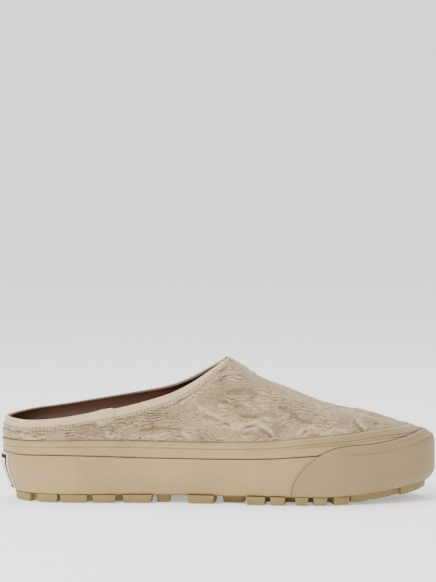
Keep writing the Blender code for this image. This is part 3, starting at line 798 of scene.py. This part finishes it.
# Upper: one piece of long-napped suede, wet-moulded over the last so that its ridges run with
# the foot, lasted under the footbed and held by the tape.
HEEL_COLLAR_HEIGHT = 56.3 * MM
THROAT_HEIGHT = 95.0 * MM
TOE_RIDGE_HEIGHT = 50.5 * MM
VAMP_FULLNESS = 0.58
BINDING_WIDTH = 6.5 * MM
TOE_RIDGE_PLACE = SOLE_LENGTH - TOE_LEAN
RIDGE_END = SOLE_LENGTH - 2 * TOE_LEAN
TAPE_ROWS = (0.0, 0.55, 1.0)

# Edge of the collar, from the back of the heel to the throat. Along the way to the throat,
# half width as a share of half HEEL_WIDTH, rise from the heel's height to the throat's,
# how steeply the wall arrives there, in degrees, and how far the lateral and medial edges
# are pulled up from that rise, in millimetres.
COLLAR = (
    (0.014, 0.00, 0.000, 80, 0.0, 0.0),
    (0.045, 0.42, 0.000, 78, -0.4, 0.8),
    (0.125, 0.71, 0.008, 78, -1.4, 2.4),
    (0.258, 0.86, 0.050, 78, -1.2, 3.2),
    (0.387, 0.91, 0.130, 77, -0.8, 3.2),
    (0.516, 0.90, 0.220, 74, -0.8, 3.1),
    (0.626, 0.84, 0.315, 68, -0.4, 2.6),
    (0.742, 0.72, 0.435, 58, 0.3, 2.1),
    (0.838, 0.63, 0.600, 46, 1.0, 1.9),
    (0.926, 0.45, 0.815, 27, 1.3, 1.8),
    (0.977, 0.27, 0.945, 12, 1.3, 1.5),
    (1.000, 0.00, 1.000, 0, 1.3, 1.3),
)

# Ridge of the vamp, from the throat to the toe. Along that way, height as a share of the
# drop from throat to toe, and sideways shift as a share of half the ball's width.
RIDGE = (
    (0.00, 1.030, 0.00),
    (0.06, 0.925, 0.00),
    (0.11, 0.832, 0.01),
    (0.19, 0.702, 0.01),
    (0.28, 0.594, 0.02),
    (0.37, 0.495, 0.03),
    (0.44, 0.402, 0.04),
    (0.49, 0.335, 0.04),
    (0.57, 0.235, 0.05),
    (0.67, 0.145, 0.06),
    (0.75, 0.088, 0.07),
    (0.84, 0.050, 0.08),
    (0.92, 0.036, 0.08),
    (1.00, 0.000, 0.08),
)
SUEDE_COLOUR = "#CEB790"
# The dark colour serves both the suede's uneven tone and the shade painted between its ridges.
SUEDE_DARK_AND_PAINTED_SHADE = "#5C472B"
UPPER_FINENESS = 8
UPPER_ROWS = 140
# Rows under the tape, which stay smooth, rows over which the relief fades towards the
# collar, and how many of the sheet's columns and rows the inner faces step over.
TAPED_ROWS = 5
FADED_ROWS = 12
INNER_STEP = 4
SUEDE_THICKNESS = 1.2 * MM
RIDGE_SPACING = 2.9 * MM
RIDGE_RELIEF = 1.2 * MM


def collar_edge():
    """Both halves of the collar's edge, from the back of the heel to the throat."""

    def row(along, width, rise, steepness, lateral, medial, side):
        height = mix(HEEL_COLLAR_HEIGHT, THROAT_HEIGHT, rise) + (medial if side > 0 else lateral) * MM
        return (along * THROAT_PLACE, side * width * HEEL_WIDTH / 2, height, steepness)

    between = COLLAR[1:-1]
    back = row(*COLLAR[0], 0)
    front = row(*COLLAR[-1], 0)
    lateral = [row(*r, -1) for r in between]
    medial = [row(*r, 1) for r in between]
    return halves(back, lateral, front, medial)


COLLAR_LATERAL, COLLAR_MEDIAL = collar_edge()


def ridge_point(x):
    """Point of the vamp's ridge, and its slope along the shoe."""

    def height(at):
        share = (at - THROAT_PLACE) / (TOE_RIDGE_PLACE - THROAT_PLACE)
        return mix(TOE_RIDGE_HEIGHT, THROAT_HEIGHT, read(RIDGE, 1, share))

    share = (x - THROAT_PLACE) / (TOE_RIDGE_PLACE - THROAT_PLACE)
    sideways = read(RIDGE, 2, share) * BALL_WIDTH / 2
    return Vector((x, sideways, height(x))), (height(x + MM) - height(x - MM)) / (2 * MM)


def rib_end(place):
    """Where a rib of the upper ends, on the collar or the ridge, and how it arrives there."""
    place = place % COLUMNS
    lateral = place <= SIDE_COLUMNS
    count = place if lateral else COLUMNS - place
    point, inward = station(place)
    if count <= REAR_COLUMNS:
        edge = COLLAR_LATERAL if lateral else COLLAR_MEDIAL
        x, y, z, steepness = edge.at(edge.length * count / REAR_COLUMNS)
        slope = math.radians(steepness)
        arrive = Vector((*(inward * math.cos(slope)), math.sin(slope)))
        return Vector((x, y, z)), arrive
    middle = (station(count)[0][0] + station(COLUMNS - count)[0][0]) / 2
    share = (middle - THROAT_PLACE) / (SOLE_LENGTH - THROAT_PLACE)
    end, slope = ridge_point(middle - (SOLE_LENGTH - RIDGE_END) * share**2)
    heading = (end.xy - Vector(point)).normalized()
    arrive = Vector((*heading, heading.x * slope)).normalized()
    return end, arrive


def upper_rib(place):
    """Points up the outside of the upper, from the feather line to the collar or the ridge."""
    x = station(place)[0][0]
    rib = [inset_point(place, CUP_WALL + GAP, deck(x) + GAP)]
    for share in TAPE_ROWS:
        z = mix(cup_rim(x), tape_top(x), share)
        rib.append(wall_point(place, z, -(tape_thickness(share) + GAP)))
    start = rib[-1]
    end, arrive = rib_end(place)
    tilt = wall_tilt(x, tape_top(x))
    leave = Vector((*(station(place)[1] * math.sin(tilt)), math.cos(tilt)))
    reach = end - start
    first = start + leave * max(reach.dot(leave), 0) * VAMP_FULLNESS
    second = end - arrive * max(reach.dot(arrive), 0) * VAMP_FULLNESS
    for k in range(1, UPPER_ROWS + 1):
        t = k / UPPER_ROWS
        rib.append(
            start * (1 - t) ** 3
            + first * 3 * t * (1 - t) ** 2
            + second * 3 * t * t * (1 - t)
            + end * t**3
        )
    return rib


def smooth_ribs():
    """Ribs between those of the frame's stations, each ending on the collar or the ridge."""
    frame_ribs = np.array([upper_rib(place) for place in range(COLUMNS)])
    pull = np.linspace(0, 1, frame_ribs.shape[1])[:, None] ** 4
    ribs = []
    for place in places(UPPER_FINENESS):
        k, t = int(place), place % 1
        a, b, c, d = (frame_ribs[(k + n) % COLUMNS] for n in (-1, 0, 1, 2))
        rib = b + (c - a) * t / 2 + (2 * a - 5 * b + 4 * c - d) * t**2 / 2
        rib += (3 * b - a - 3 * c + d) * t**3 / 2
        rib += pull * (np.array(rib_end(place)[0]) - rib[-1])
        ribs.append([Vector(point) for point in rib])
    return ribs


def upper_sheet():
    """The outside of the upper as columns of points, and the number of each point."""
    ribs = smooth_ribs()
    count, last = len(ribs), len(ribs[0]) - 1
    points, index = [], np.zeros((count, last + 1), int)
    for column, rib in enumerate(ribs):
        for row, point in enumerate(rib):
            ridge = count - REAR_COLUMNS * UPPER_FINENESS >= column > SIDE_COLUMNS * UPPER_FINENESS
            if row == last and ridge:
                index[column, row] = index[count - column, row]
            else:
                index[column, row] = len(points)
                points.append(point)
    return points, index


def grid_faces(index):
    """Faces of a sheet whose columns close round the shoe."""
    faces = []
    count, rows = index.shape
    for column in range(count):
        after = (column + 1) % count
        for row in range(rows - 1):
            corners = (
                index[column, row], index[after, row], index[after, row + 1], index[column, row + 1]
            )
            faces.append(tuple(int(k) for k in dict.fromkeys(corners)))
    return faces


def facings(points, faces):
    """Outward direction at each point of a sheet."""
    mesh = bpy.data.meshes.new("measure")
    mesh.from_pydata(points, [], faces)
    normals = np.zeros(len(points) * 3)
    mesh.vertex_normals.foreach_get("vector", normals)
    bpy.data.meshes.remove(mesh)
    return normals.reshape(-1, 3)


def uneven(place, wide, high, shift=0):
    """Smooth chance from -1 to 1, in patches so wide and so high in millimetres."""
    x, y, z = place / MM
    return noise.noise(Vector((x / wide + shift, y / wide, z / high)))


def suede_relief(place, up):
    """Height of the wavy ridges of the suede, from 0 to 1, at a point and its way up the rib.

    The ridges drift up and down, come and go in patches, and calm down over the toe.
    """
    drift = 6 * uneven(place, 22, 14)
    drift += 2.8 * uneven(place, 8, 6, 7)
    drift += 0.9 * uneven(place, 3, 2.5, 3)
    wave = (1 - abs(math.sin(math.pi * (up / MM + drift) / (RIDGE_SPACING / MM)))) ** 1.4
    patchy = 0.75 + 1.3 * uneven(place, 15, 9, 11)
    broken = 0.75 + 1.3 * uneven(place, 5, 3.5, 23)
    crumb = uneven(place, 1.6, 1.2)
    pits = max(uneven(place, 2.6, 1.8, 5) - 0.25, 0.0)
    strength = within(patchy, 0.1) * within(broken, 0.15)
    calm = within((TOE_RIDGE_PLACE - place.x) / (30 * MM), 0.25)
    return (wave * strength + 0.2 * crumb - 1.6 * pits * strength) * calm


# Main creases of the outer side: how wide and how high each is in millimetres, a trough
# below zero, then its line as places along the sole and over the ground.
CREASES = (
    (1.2, 1.0, ((164, 53.0), (174, 56.1), (180, 51.8), (184, 47.9))),
    (1.1, -0.8, ((164, 51.1), (173, 53.6), (179, 50.0), (183, 46.9))),
    (1.1, 0.8, ((152, 52.5), (162, 50.9), (179, 52.1))),
    (1.2, -0.8, ((164, 59.9), (171, 58.3), (181, 61.4), (186, 59.5))),
    (1.2, 1.0, ((202, 48.0), (205, 51.1), (211, 52.7), (218, 48.0))),
    (1.1, 0.9, ((219, 47.4), (226, 50.9), (232, 49.4), (236, 47.4))),
    (1.0, -1.1, ((240, 54.9), (245, 49.8))),
    (1.0, 0.9, ((242, 55.6), (247, 50.4))),
    (1.1, -0.8, ((197, 59.9), (204, 56.7), (210, 55.2))),
    (1.1, 0.9, ((135, 65.3), (141, 61.4), (145, 59.5), (151, 56.4))),
    (1.1, -0.7, ((155, 74.8), (166, 76.3), (173, 73.6))),
    (1.1, 0.7, ((97, 44.1), (101, 45.3), (107, 44.9))),
    (1.1, -0.6, ((96, 49.5), (110, 50.7), (123, 49.9))),
    (1.0, 0.8, ((124, 48.6), (128, 45.1))),
    (1.1, -0.8, ((140, 58.9), (150, 56.5), (155, 52.7))),
    (1.0, -0.9, ((190, 65.1), (195, 63.2), (199, 60.8))),
    (1.1, 0.8, ((67, 53.6), (76, 56.4), (78, 51.7))),
)


def crease_heights(points):
    """How far the main creases lift or sink each point of the sheet, in millimetres."""
    sheet = np.array(points) / MM
    spots = sheet[:, [0, 2]]
    total = np.zeros(len(spots))
    for width, height, line in CREASES:
        nearest = np.full(len(spots), np.inf)
        for first, last in zip(np.array(line[:-1]), np.array(line[1:])):
            run = last - first
            share = np.clip((spots - first) @ run / (run @ run), 0, 1)[:, None]
            nearest = np.minimum(nearest, np.linalg.norm(spots - first - share * run, axis=1))
        total += height * np.exp(-((nearest / width) ** 2))
    return np.where(sheet[:, 1] < 0, total, 0.0)


sheet_points, sheet_index = upper_sheet()
sheet_faces = grid_faces(sheet_index)
sheet_out = facings(sheet_points, sheet_faces)
COUNT, ROWS = sheet_index.shape
smooth_sheet = BVHTree.FromPolygons(sheet_points, sheet_faces)


def suede_upper():
    """The suede: a fine outside with its relief, and a coarser inside."""
    points = [Vector(p) for p in sheet_points]
    creases = crease_heights(sheet_points) * MM / RIDGE_RELIEF
    relief = np.zeros(len(points))
    for column in range(COUNT):
        run = 0.0
        for row in range(TAPED_ROWS, ROWS):
            here, before = sheet_index[column, row], sheet_index[column, row - 1]
            run += (sheet_points[here] - sheet_points[before]).length
            height = suede_relief(sheet_points[here], run) + creases[here]
            near_rim = 1.0
            if min(column, COUNT - column) <= REAR_COLUMNS * UPPER_FINENESS:
                near_rim = min((ROWS - 1 - row) / FADED_ROWS, 1.0)
            relief[here] = height
            points[here] = sheet_points[here] + Vector(sheet_out[here]) * height * RIDGE_RELIEF * near_rim
    step = INNER_STEP
    columns = range(0, COUNT, step)
    rows = [*range(0, ROWS - 1, step), ROWS - 1]
    inner = {}
    for column in columns:
        for row in rows:
            source = sheet_index[column, row]
            if source not in inner:
                inner[source] = len(points)
                points.append(sheet_points[source] - Vector(sheet_out[source]) * SUEDE_THICKNESS)
    faces = list(sheet_faces)
    for column in columns:
        after = (column + step) % COUNT
        for low, high in zip(rows[:-1], rows[1:]):
            corners = [
                inner[sheet_index[column, low]], inner[sheet_index[column, high]],
                inner[sheet_index[after, high]], inner[sheet_index[after, low]],
            ]
            faces.append(tuple(dict.fromkeys(corners)))
        foot = [int(sheet_index[(column + k) % COUNT, 0]) for k in range(step + 1)]
        faces.append((*reversed(foot), inner[foot[0]], inner[foot[-1]]))
        middle = column + step / 2
        if min(middle, COUNT - middle) < REAR_COLUMNS * UPPER_FINENESS:
            rim = [int(sheet_index[(column + k) % COUNT, ROWS - 1]) for k in range(step + 1)]
            faces.append((*rim, inner[rim[-1]], inner[rim[0]]))
    return points, faces, np.append(relief, np.full(len(points) - len(relief), 0.3))


def napped_suede(name):
    """Suede brushed to a long nap: matt, with shade painted between its ridges and light painted on their
    crests, a soft sheen at the edges.

    Its hairs are drawn 0.7 mm apart, coarser than the real ones, so that they show.
    """
    material, shader = finish(
        name, IOR=1.45, Roughness=0.92, Specular_IOR_Level=0.2, Sheen_Weight=0.25, Sheen_Roughness=0.5
    )
    place = add(material, "TexCoord").outputs["Object"]
    height = add(material, "Attribute", attribute_name="relief").outputs["Fac"]
    clouds = add(material, "TexNoise", {"Vector": place, "Scale": per(14 * MM), "Detail": 6.0})
    stretch = add(material, "Mapping", {"Vector": place, "Scale": (0.35, 1.0, 1.0)})
    hairs = {"Vector": stretch.outputs[0], "Scale": per(0.7 * MM), "Detail": 6.0, "Roughness": 0.7}
    hair = add(material, "TexNoise", hairs)
    # Painted light and shade: the crests of the relief are made lighter and its valleys darker.
    painted_ridge_shading = add(material, "MapRange", {"Value": height, "From Min": -0.15, "From Max": 0.45})
    tone = add(material, "Math", {0: clouds.outputs[0], 1: hair.outputs[0]}, operation="ADD")
    spread = add(material, "MapRange", {"Value": tone.outputs[0], "From Min": 0.65, "From Max": 1.35})
    both = add(material, "Math", {0: painted_ridge_shading.outputs[0], 1: spread.outputs[0]}, operation="ADD")
    share = add(material, "Math", {0: both.outputs[0], 1: 0.5}, operation="MULTIPLY")
    base = blend_colours(material, share.outputs[0], SUEDE_DARK_AND_PAINTED_SHADE, SUEDE_COLOUR)
    relief = add(material, "Bump", {"Height": hair.outputs[0], "Distance": 0.45 * MM, "Strength": 0.9})
    cover(material, shader, base, relief)
    return material


suede = napped_suede("suede_long_napped")
points, faces, relief = suede_upper()
upper = add_piece("upper_suede", points, faces, suede, "suede", ["upper"])
settle(upper, "relief", relief)

# Lining: thin glazed leather, glued inside the suede from the collar to the footbed. Its top
# edge is held under the folded binding.
LINING_IN = SUEDE_THICKNESS + 0.1 * MM
LINING_FACE = UPPER_WALL + 0.3 * MM


def lining():
    """Both faces of the lining, from some of the columns and rows of the upper's sheet."""
    rows = [*range(0, ROWS - 2, INNER_STEP), ROWS - 2]
    index = sheet_index[::INNER_STEP][:, rows]
    used = {int(k): n for n, k in enumerate(dict.fromkeys(index.ravel()))}
    small = np.vectorize(lambda k: used[int(k)])(index)
    outer = [sheet_points[k] - Vector(sheet_out[k]) * LINING_IN for k in used]
    inner = [sheet_points[k] - Vector(sheet_out[k]) * LINING_FACE for k in used]
    faces = grid_faces(small)
    count = len(outer)
    sides = {(face[k - 1], face[k]) for face in faces for k in range(len(face))}
    border = [(b, a, a + count, b + count) for a, b in sorted(sides) if (b, a) not in sides]
    back = [tuple(k + count for k in reversed(face)) for face in faces]
    return outer + inner, faces + back + border


add_piece("lining", *lining(), lining_leather, "footbed_leather")

# Collar binding: a strip of smooth suede folded over the raw edge and closed with two rows
# of stitches. Its ends lap on the outer side, where the strip swells a little.
BINDING_COLOUR = "#CCB793"
BINDING_SHADE = "#B49E7A"
BINDING_NEAR = 0.1 * MM
BINDING_SKIN = 0.45 * MM
BINDING_STATIONS = 160
FLAP_HEIGHT = 0.4 * MM
LAP_START = 58 * MM
LAP_END = 76 * MM
LAP_HEIGHT = 0.9 * MM
# Points round the strip's profile, and those turned in, which the lining is glued over.
PROFILE_POINTS = 24
TURNED_IN = range(14, 21)
# Rows on each side of the throat where the part turned in is still suede.
THROAT_ROWS = 12
# Face of the strip, from its lower edge up: how far up, and height as a share of its own.
BINDING_FACE = (
    (0.0, 0.25),
    (0.25 * MM, 0.75),
    (0.6 * MM, 0.95),
    (0.9 * MM, 0.6),
    (1.1 * MM, 0.3),
    (1.3 * MM, 0.6),
    (1.7 * MM, 0.95),
    (2.9 * MM, 1.0),
    (4.3 * MM, 1.0),
    (5.5 * MM, 1.0),
)


def collar_line(count):
    """Points of the collar's edge, evenly spaced, with the way down the upper and out of it."""
    there = [COLLAR_LATERAL.at(COLLAR_LATERAL.length * k / count) for k in range(count)]
    home = [COLLAR_MEDIAL.at(COLLAR_MEDIAL.length * (1 - k / count)) for k in range(count)]
    edge = [Vector(spot[:3]) for spot in there + home]
    total = len(edge)
    raw = [smooth_sheet.find_nearest(point)[1] for point in edge]
    for _ in range(3):
        near = [[raw[(i + k) % total] for k in range(-4, 5)] for i in range(total)]
        raw = [sum(facings_there, Vector()).normalized() for facings_there in near]
    line = []
    for i, point in enumerate(edge):
        along = (edge[(i + 2) % total] - edge[i - 2]).normalized()
        normal = (raw[i] - along * raw[i].dot(along)).normalized()
        line.append((point, along.cross(normal).normalized(), normal))
    return line


def over_sheet(point, down, distance, out):
    """Point over the outside of the upper, some way down from its edge."""
    spot, facing = smooth_sheet.find_nearest(point + down * distance)[:2]
    return spot + facing * out


def collar_binding():
    """The strip, as a closed profile at each point of the collar's edge."""
    far = BINDING_NEAR + BINDING_SKIN
    rows = []
    for point, down, normal in collar_line(BINDING_STATIONS):
        lap = within((point.x - LAP_START) / (10 * MM)) ** 2
        if normal.y > 0 or point.x > LAP_END:
            lap = 0.0
        thick = far + LAP_HEIGHT * lap
        wide = 1 + 0.4 * math.exp(-(((THROAT_PLACE - point.x) / (7 * MM)) ** 2))
        outer = [
            over_sheet(point, down, (BINDING_WIDTH - up) * wide, thick * height)
            for up, height in BINDING_FACE
        ]
        fold = []
        for k in range(9):
            angle = math.pi * k / 8
            out = (UPPER_WALL / 2 + thick) * math.cos(angle) - UPPER_WALL / 2
            fold.append(point + normal * out - down * thick * math.sin(angle))
        inner = [point + down * FLAP_HEIGHT - normal * (UPPER_WALL + thick)]
        under = [
            point + down * FLAP_HEIGHT - normal * (UPPER_WALL + BINDING_NEAR),
            point - down * BINDING_NEAR - normal * (UPPER_WALL + BINDING_NEAR),
            point - down * BINDING_NEAR + normal * 0.05 * MM,
        ]
        rows.append(outer + fold + inner + under + [over_sheet(point, down, 3.2 * MM, 0.02 * MM)])
    return banded(rows, closed=True, capped=False)


def smooth_suede(name, colour, shade):
    """Shaved suede with a short nap: even, matt, with a fine fuzz."""
    material, shader = finish(name, IOR=1.45, Roughness=0.85, Specular_IOR_Level=0.25, Sheen_Weight=0.3)
    place = add(material, "TexCoord").outputs["Object"]
    fuzz = add(material, "TexNoise", {"Vector": place, "Scale": per(0.6 * MM), "Detail": 6.0})
    clouds = add(material, "TexNoise", {"Vector": place, "Scale": per(9 * MM), "Detail": 4.0})
    both = add(material, "Math", {0: fuzz.outputs[0], 1: clouds.outputs[0]}, operation="ADD")
    share = add(material, "MapRange", {"Value": both.outputs[0], "From Min": 0.7, "From Max": 1.3})
    base = blend_colours(material, share.outputs[0], shade, colour)
    relief = add(material, "Bump", {"Height": fuzz.outputs[0], "Distance": 0.12 * MM, "Strength": 0.6})
    cover(material, shader, base, relief)
    return material


binding_suede = smooth_suede("binding_suede_shaved", BINDING_COLOUR, BINDING_SHADE)
points, faces = collar_binding()
binding = add_piece(
    "collar_binding_folded", points, faces, binding_suede, "binding_leather", ["collar_binding"]
)
binding.data.materials.append(lining_leather)
for polygon in binding.data.polygons:
    row, corner = divmod(polygon.index, PROFILE_POINTS)
    polygon.material_index = int(corner in TURNED_IN and abs(row - BINDING_STATIONS) > THROAT_ROWS)

# Stitches: two rows of bonded polyester thread, one along the foot of the binding and one
# just under it on the suede, about four stitches to a centimetre.
THREAD_COLOUR = "#86725A"
THREAD_SHADE = "#5C4C3A"
STITCH_PITCH = 2.6 * MM
STITCH_LENGTH = 2.0 * MM
THREAD_RADIUS = 0.24 * MM
# Rows of stitches: how far down from the collar's edge, and how high the seam lies.
STITCH_ROWS = (
    (5.4 * MM, BINDING_NEAR + BINDING_SKIN),
    (8.3 * MM, 0.25 * MM),
)


def stitch(start, end, out):
    """One stitch: a short bowed tube between its two holes."""
    along = (end - start).normalized()
    side = along.cross(out).normalized()
    rows = []
    for k in range(7):
        t = k / 6
        centre = start.lerp(end, t) + out * THREAD_RADIUS * (3.0 * math.sin(math.pi * t) ** 0.6 - 1.8)
        radius = THREAD_RADIUS * (0.55 + 0.45 * math.sin(math.pi * t) ** 0.5)
        rows.append(
            [
                centre + side * radius * math.cos(angle) + out * radius * math.sin(angle)
                for angle in (math.pi * j / 3 for j in range(6))
            ]
        )
    return banded(rows, closed=False, capped=True)


def stitch_row(down_by, height):
    """All the stitches of one row, evenly spaced round the collar."""
    spots = []
    for point, down, _ in collar_line(BINDING_STATIONS):
        spot, facing = smooth_sheet.find_nearest(point + down * down_by)[:2]
        spots.append(np.array((*(spot + facing * height), *facing)))
    seam = Path(np.array(spots + spots[:1]))
    count = round(seam.length / STITCH_PITCH)
    points, faces = [], []
    for k in range(count):
        run = seam.length * k / count
        start, end = seam.at(run), seam.at(run + STITCH_LENGTH)
        shape, sides = stitch(Vector(start[:3]), Vector(end[:3]), Vector(start[3:]).normalized())
        base = len(points)
        points += shape
        faces += [tuple(base + j for j in face) for face in sides]
    return points, faces


thread = smooth_suede("thread_bonded_polyester", THREAD_COLOUR, THREAD_SHADE)
for number, (down_by, height) in enumerate(STITCH_ROWS):
    add_piece(f"stitches_{number + 1}", *stitch_row(down_by, height), thread, "binding_leather")

# Studio: a white floor that curves up into a wall, two soft boxes and an even white room.
# The camera stands 2.2 m off the outer side and looks a little down on the shoe.
CAMERA_DISTANCE = 2200 * MM
CAMERA_ELEVATION = 7.0
CAMERA_PITCH = 3.31
CAMERA_SIDEWAYS = -0.17 * MM
CAMERA_LENS = 197.5
COVE_START = 3.0
COVE_RADIUS = 1.5
COVE_GLOW = 0.4
FLOOR_REACH = 20
FLOOR_BELOW = 0.2 * MM
COVE_TOP = 6


def speckle_on(material):
    """Faint unevenness of rolled paint."""
    place = add(material, "TexCoord").outputs["Object"]
    return add(material, "TexNoise", {"Vector": place, "Scale": per(40 * MM)}).outputs[0]


def cove():
    """A floor that turns up into a wall behind the shoe, in one sweep."""
    bend = [math.pi / 2 * k / 24 for k in range(25)]
    profile = [(-FLOOR_REACH, -FLOOR_BELOW), (0, -FLOOR_BELOW)]
    profile += [(COVE_START + COVE_RADIUS * math.sin(a), COVE_RADIUS * (1 - math.cos(a))) for a in bend]
    profile.append((COVE_START + COVE_RADIUS, COVE_TOP))
    points = [(side * FLOOR_REACH, y, z) for y, z in profile for side in (-1, 1)]
    faces = [(2 * k, 2 * k + 1, 2 * k + 3, 2 * k + 2) for k in range(len(profile) - 1)]
    return points, faces


floor_paint, floor_shader = finish(
    "floor_paint", Roughness=0.9, Specular_IOR_Level=0.1, Emission_Strength=COVE_GLOW
)
floor_shader.inputs["Emission Color"].default_value = linear("#FFFFFF")
floor_paint.node_tree.links.new(
    blend_colours(floor_paint, speckle_on(floor_paint), "#FCFCFD", "#FFFFFF"),
    floor_shader.inputs["Base Color"],
)
floor_mesh = bpy.data.meshes.new("floor")
points, faces = cove()
floor_mesh.from_pydata(points, [], faces)
floor_mesh.shade_smooth()
floor_mesh.materials.append(floor_paint)
floor = bpy.data.objects.new("floor", floor_mesh)
bpy.context.scene.collection.objects.link(floor)
floor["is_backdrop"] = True

world = bpy.data.worlds.new("white_room")
world.use_nodes = True
room = world.node_tree.nodes["Background"]
room.inputs["Color"].default_value = linear("#FAFBFF")
room.inputs["Strength"].default_value = 0.95
bpy.context.scene.world = world

# Soft boxes: where each stands, how wide it is and its power in watts.
SOFT_BOXES = (
    ((-0.9, -0.9, 1.2), 0.6, 32),
    ((0.1, 0.6, 1.6), 1.0, 16),
)
for number, (spot, width, power) in enumerate(SOFT_BOXES):
    lamp = bpy.data.lights.new(f"soft_box_{number + 1}", "AREA")
    lamp.shape = "SQUARE"
    lamp.size = width
    lamp.energy = power
    box = bpy.data.objects.new(lamp.name, lamp)
    box.location = spot
    box.rotation_euler = (-Vector(spot)).to_track_quat("-Z", "Y").to_euler()
    bpy.context.scene.collection.objects.link(box)

lens = bpy.data.cameras.new("camera")
lens.lens = CAMERA_LENS
lens.clip_end = 100
camera = bpy.data.objects.new("camera", lens)
elevation = math.radians(CAMERA_ELEVATION)
camera.location = (
    CAMERA_SIDEWAYS, -CAMERA_DISTANCE * math.cos(elevation), CAMERA_DISTANCE * math.sin(elevation)
)
camera.rotation_euler = (math.radians(90 - CAMERA_PITCH), 0, 0)
bpy.context.scene.collection.objects.link(camera)
bpy.context.scene.camera = camera

corners = [[list(corner) for corner in box] for box in (cad_bounds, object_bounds())]
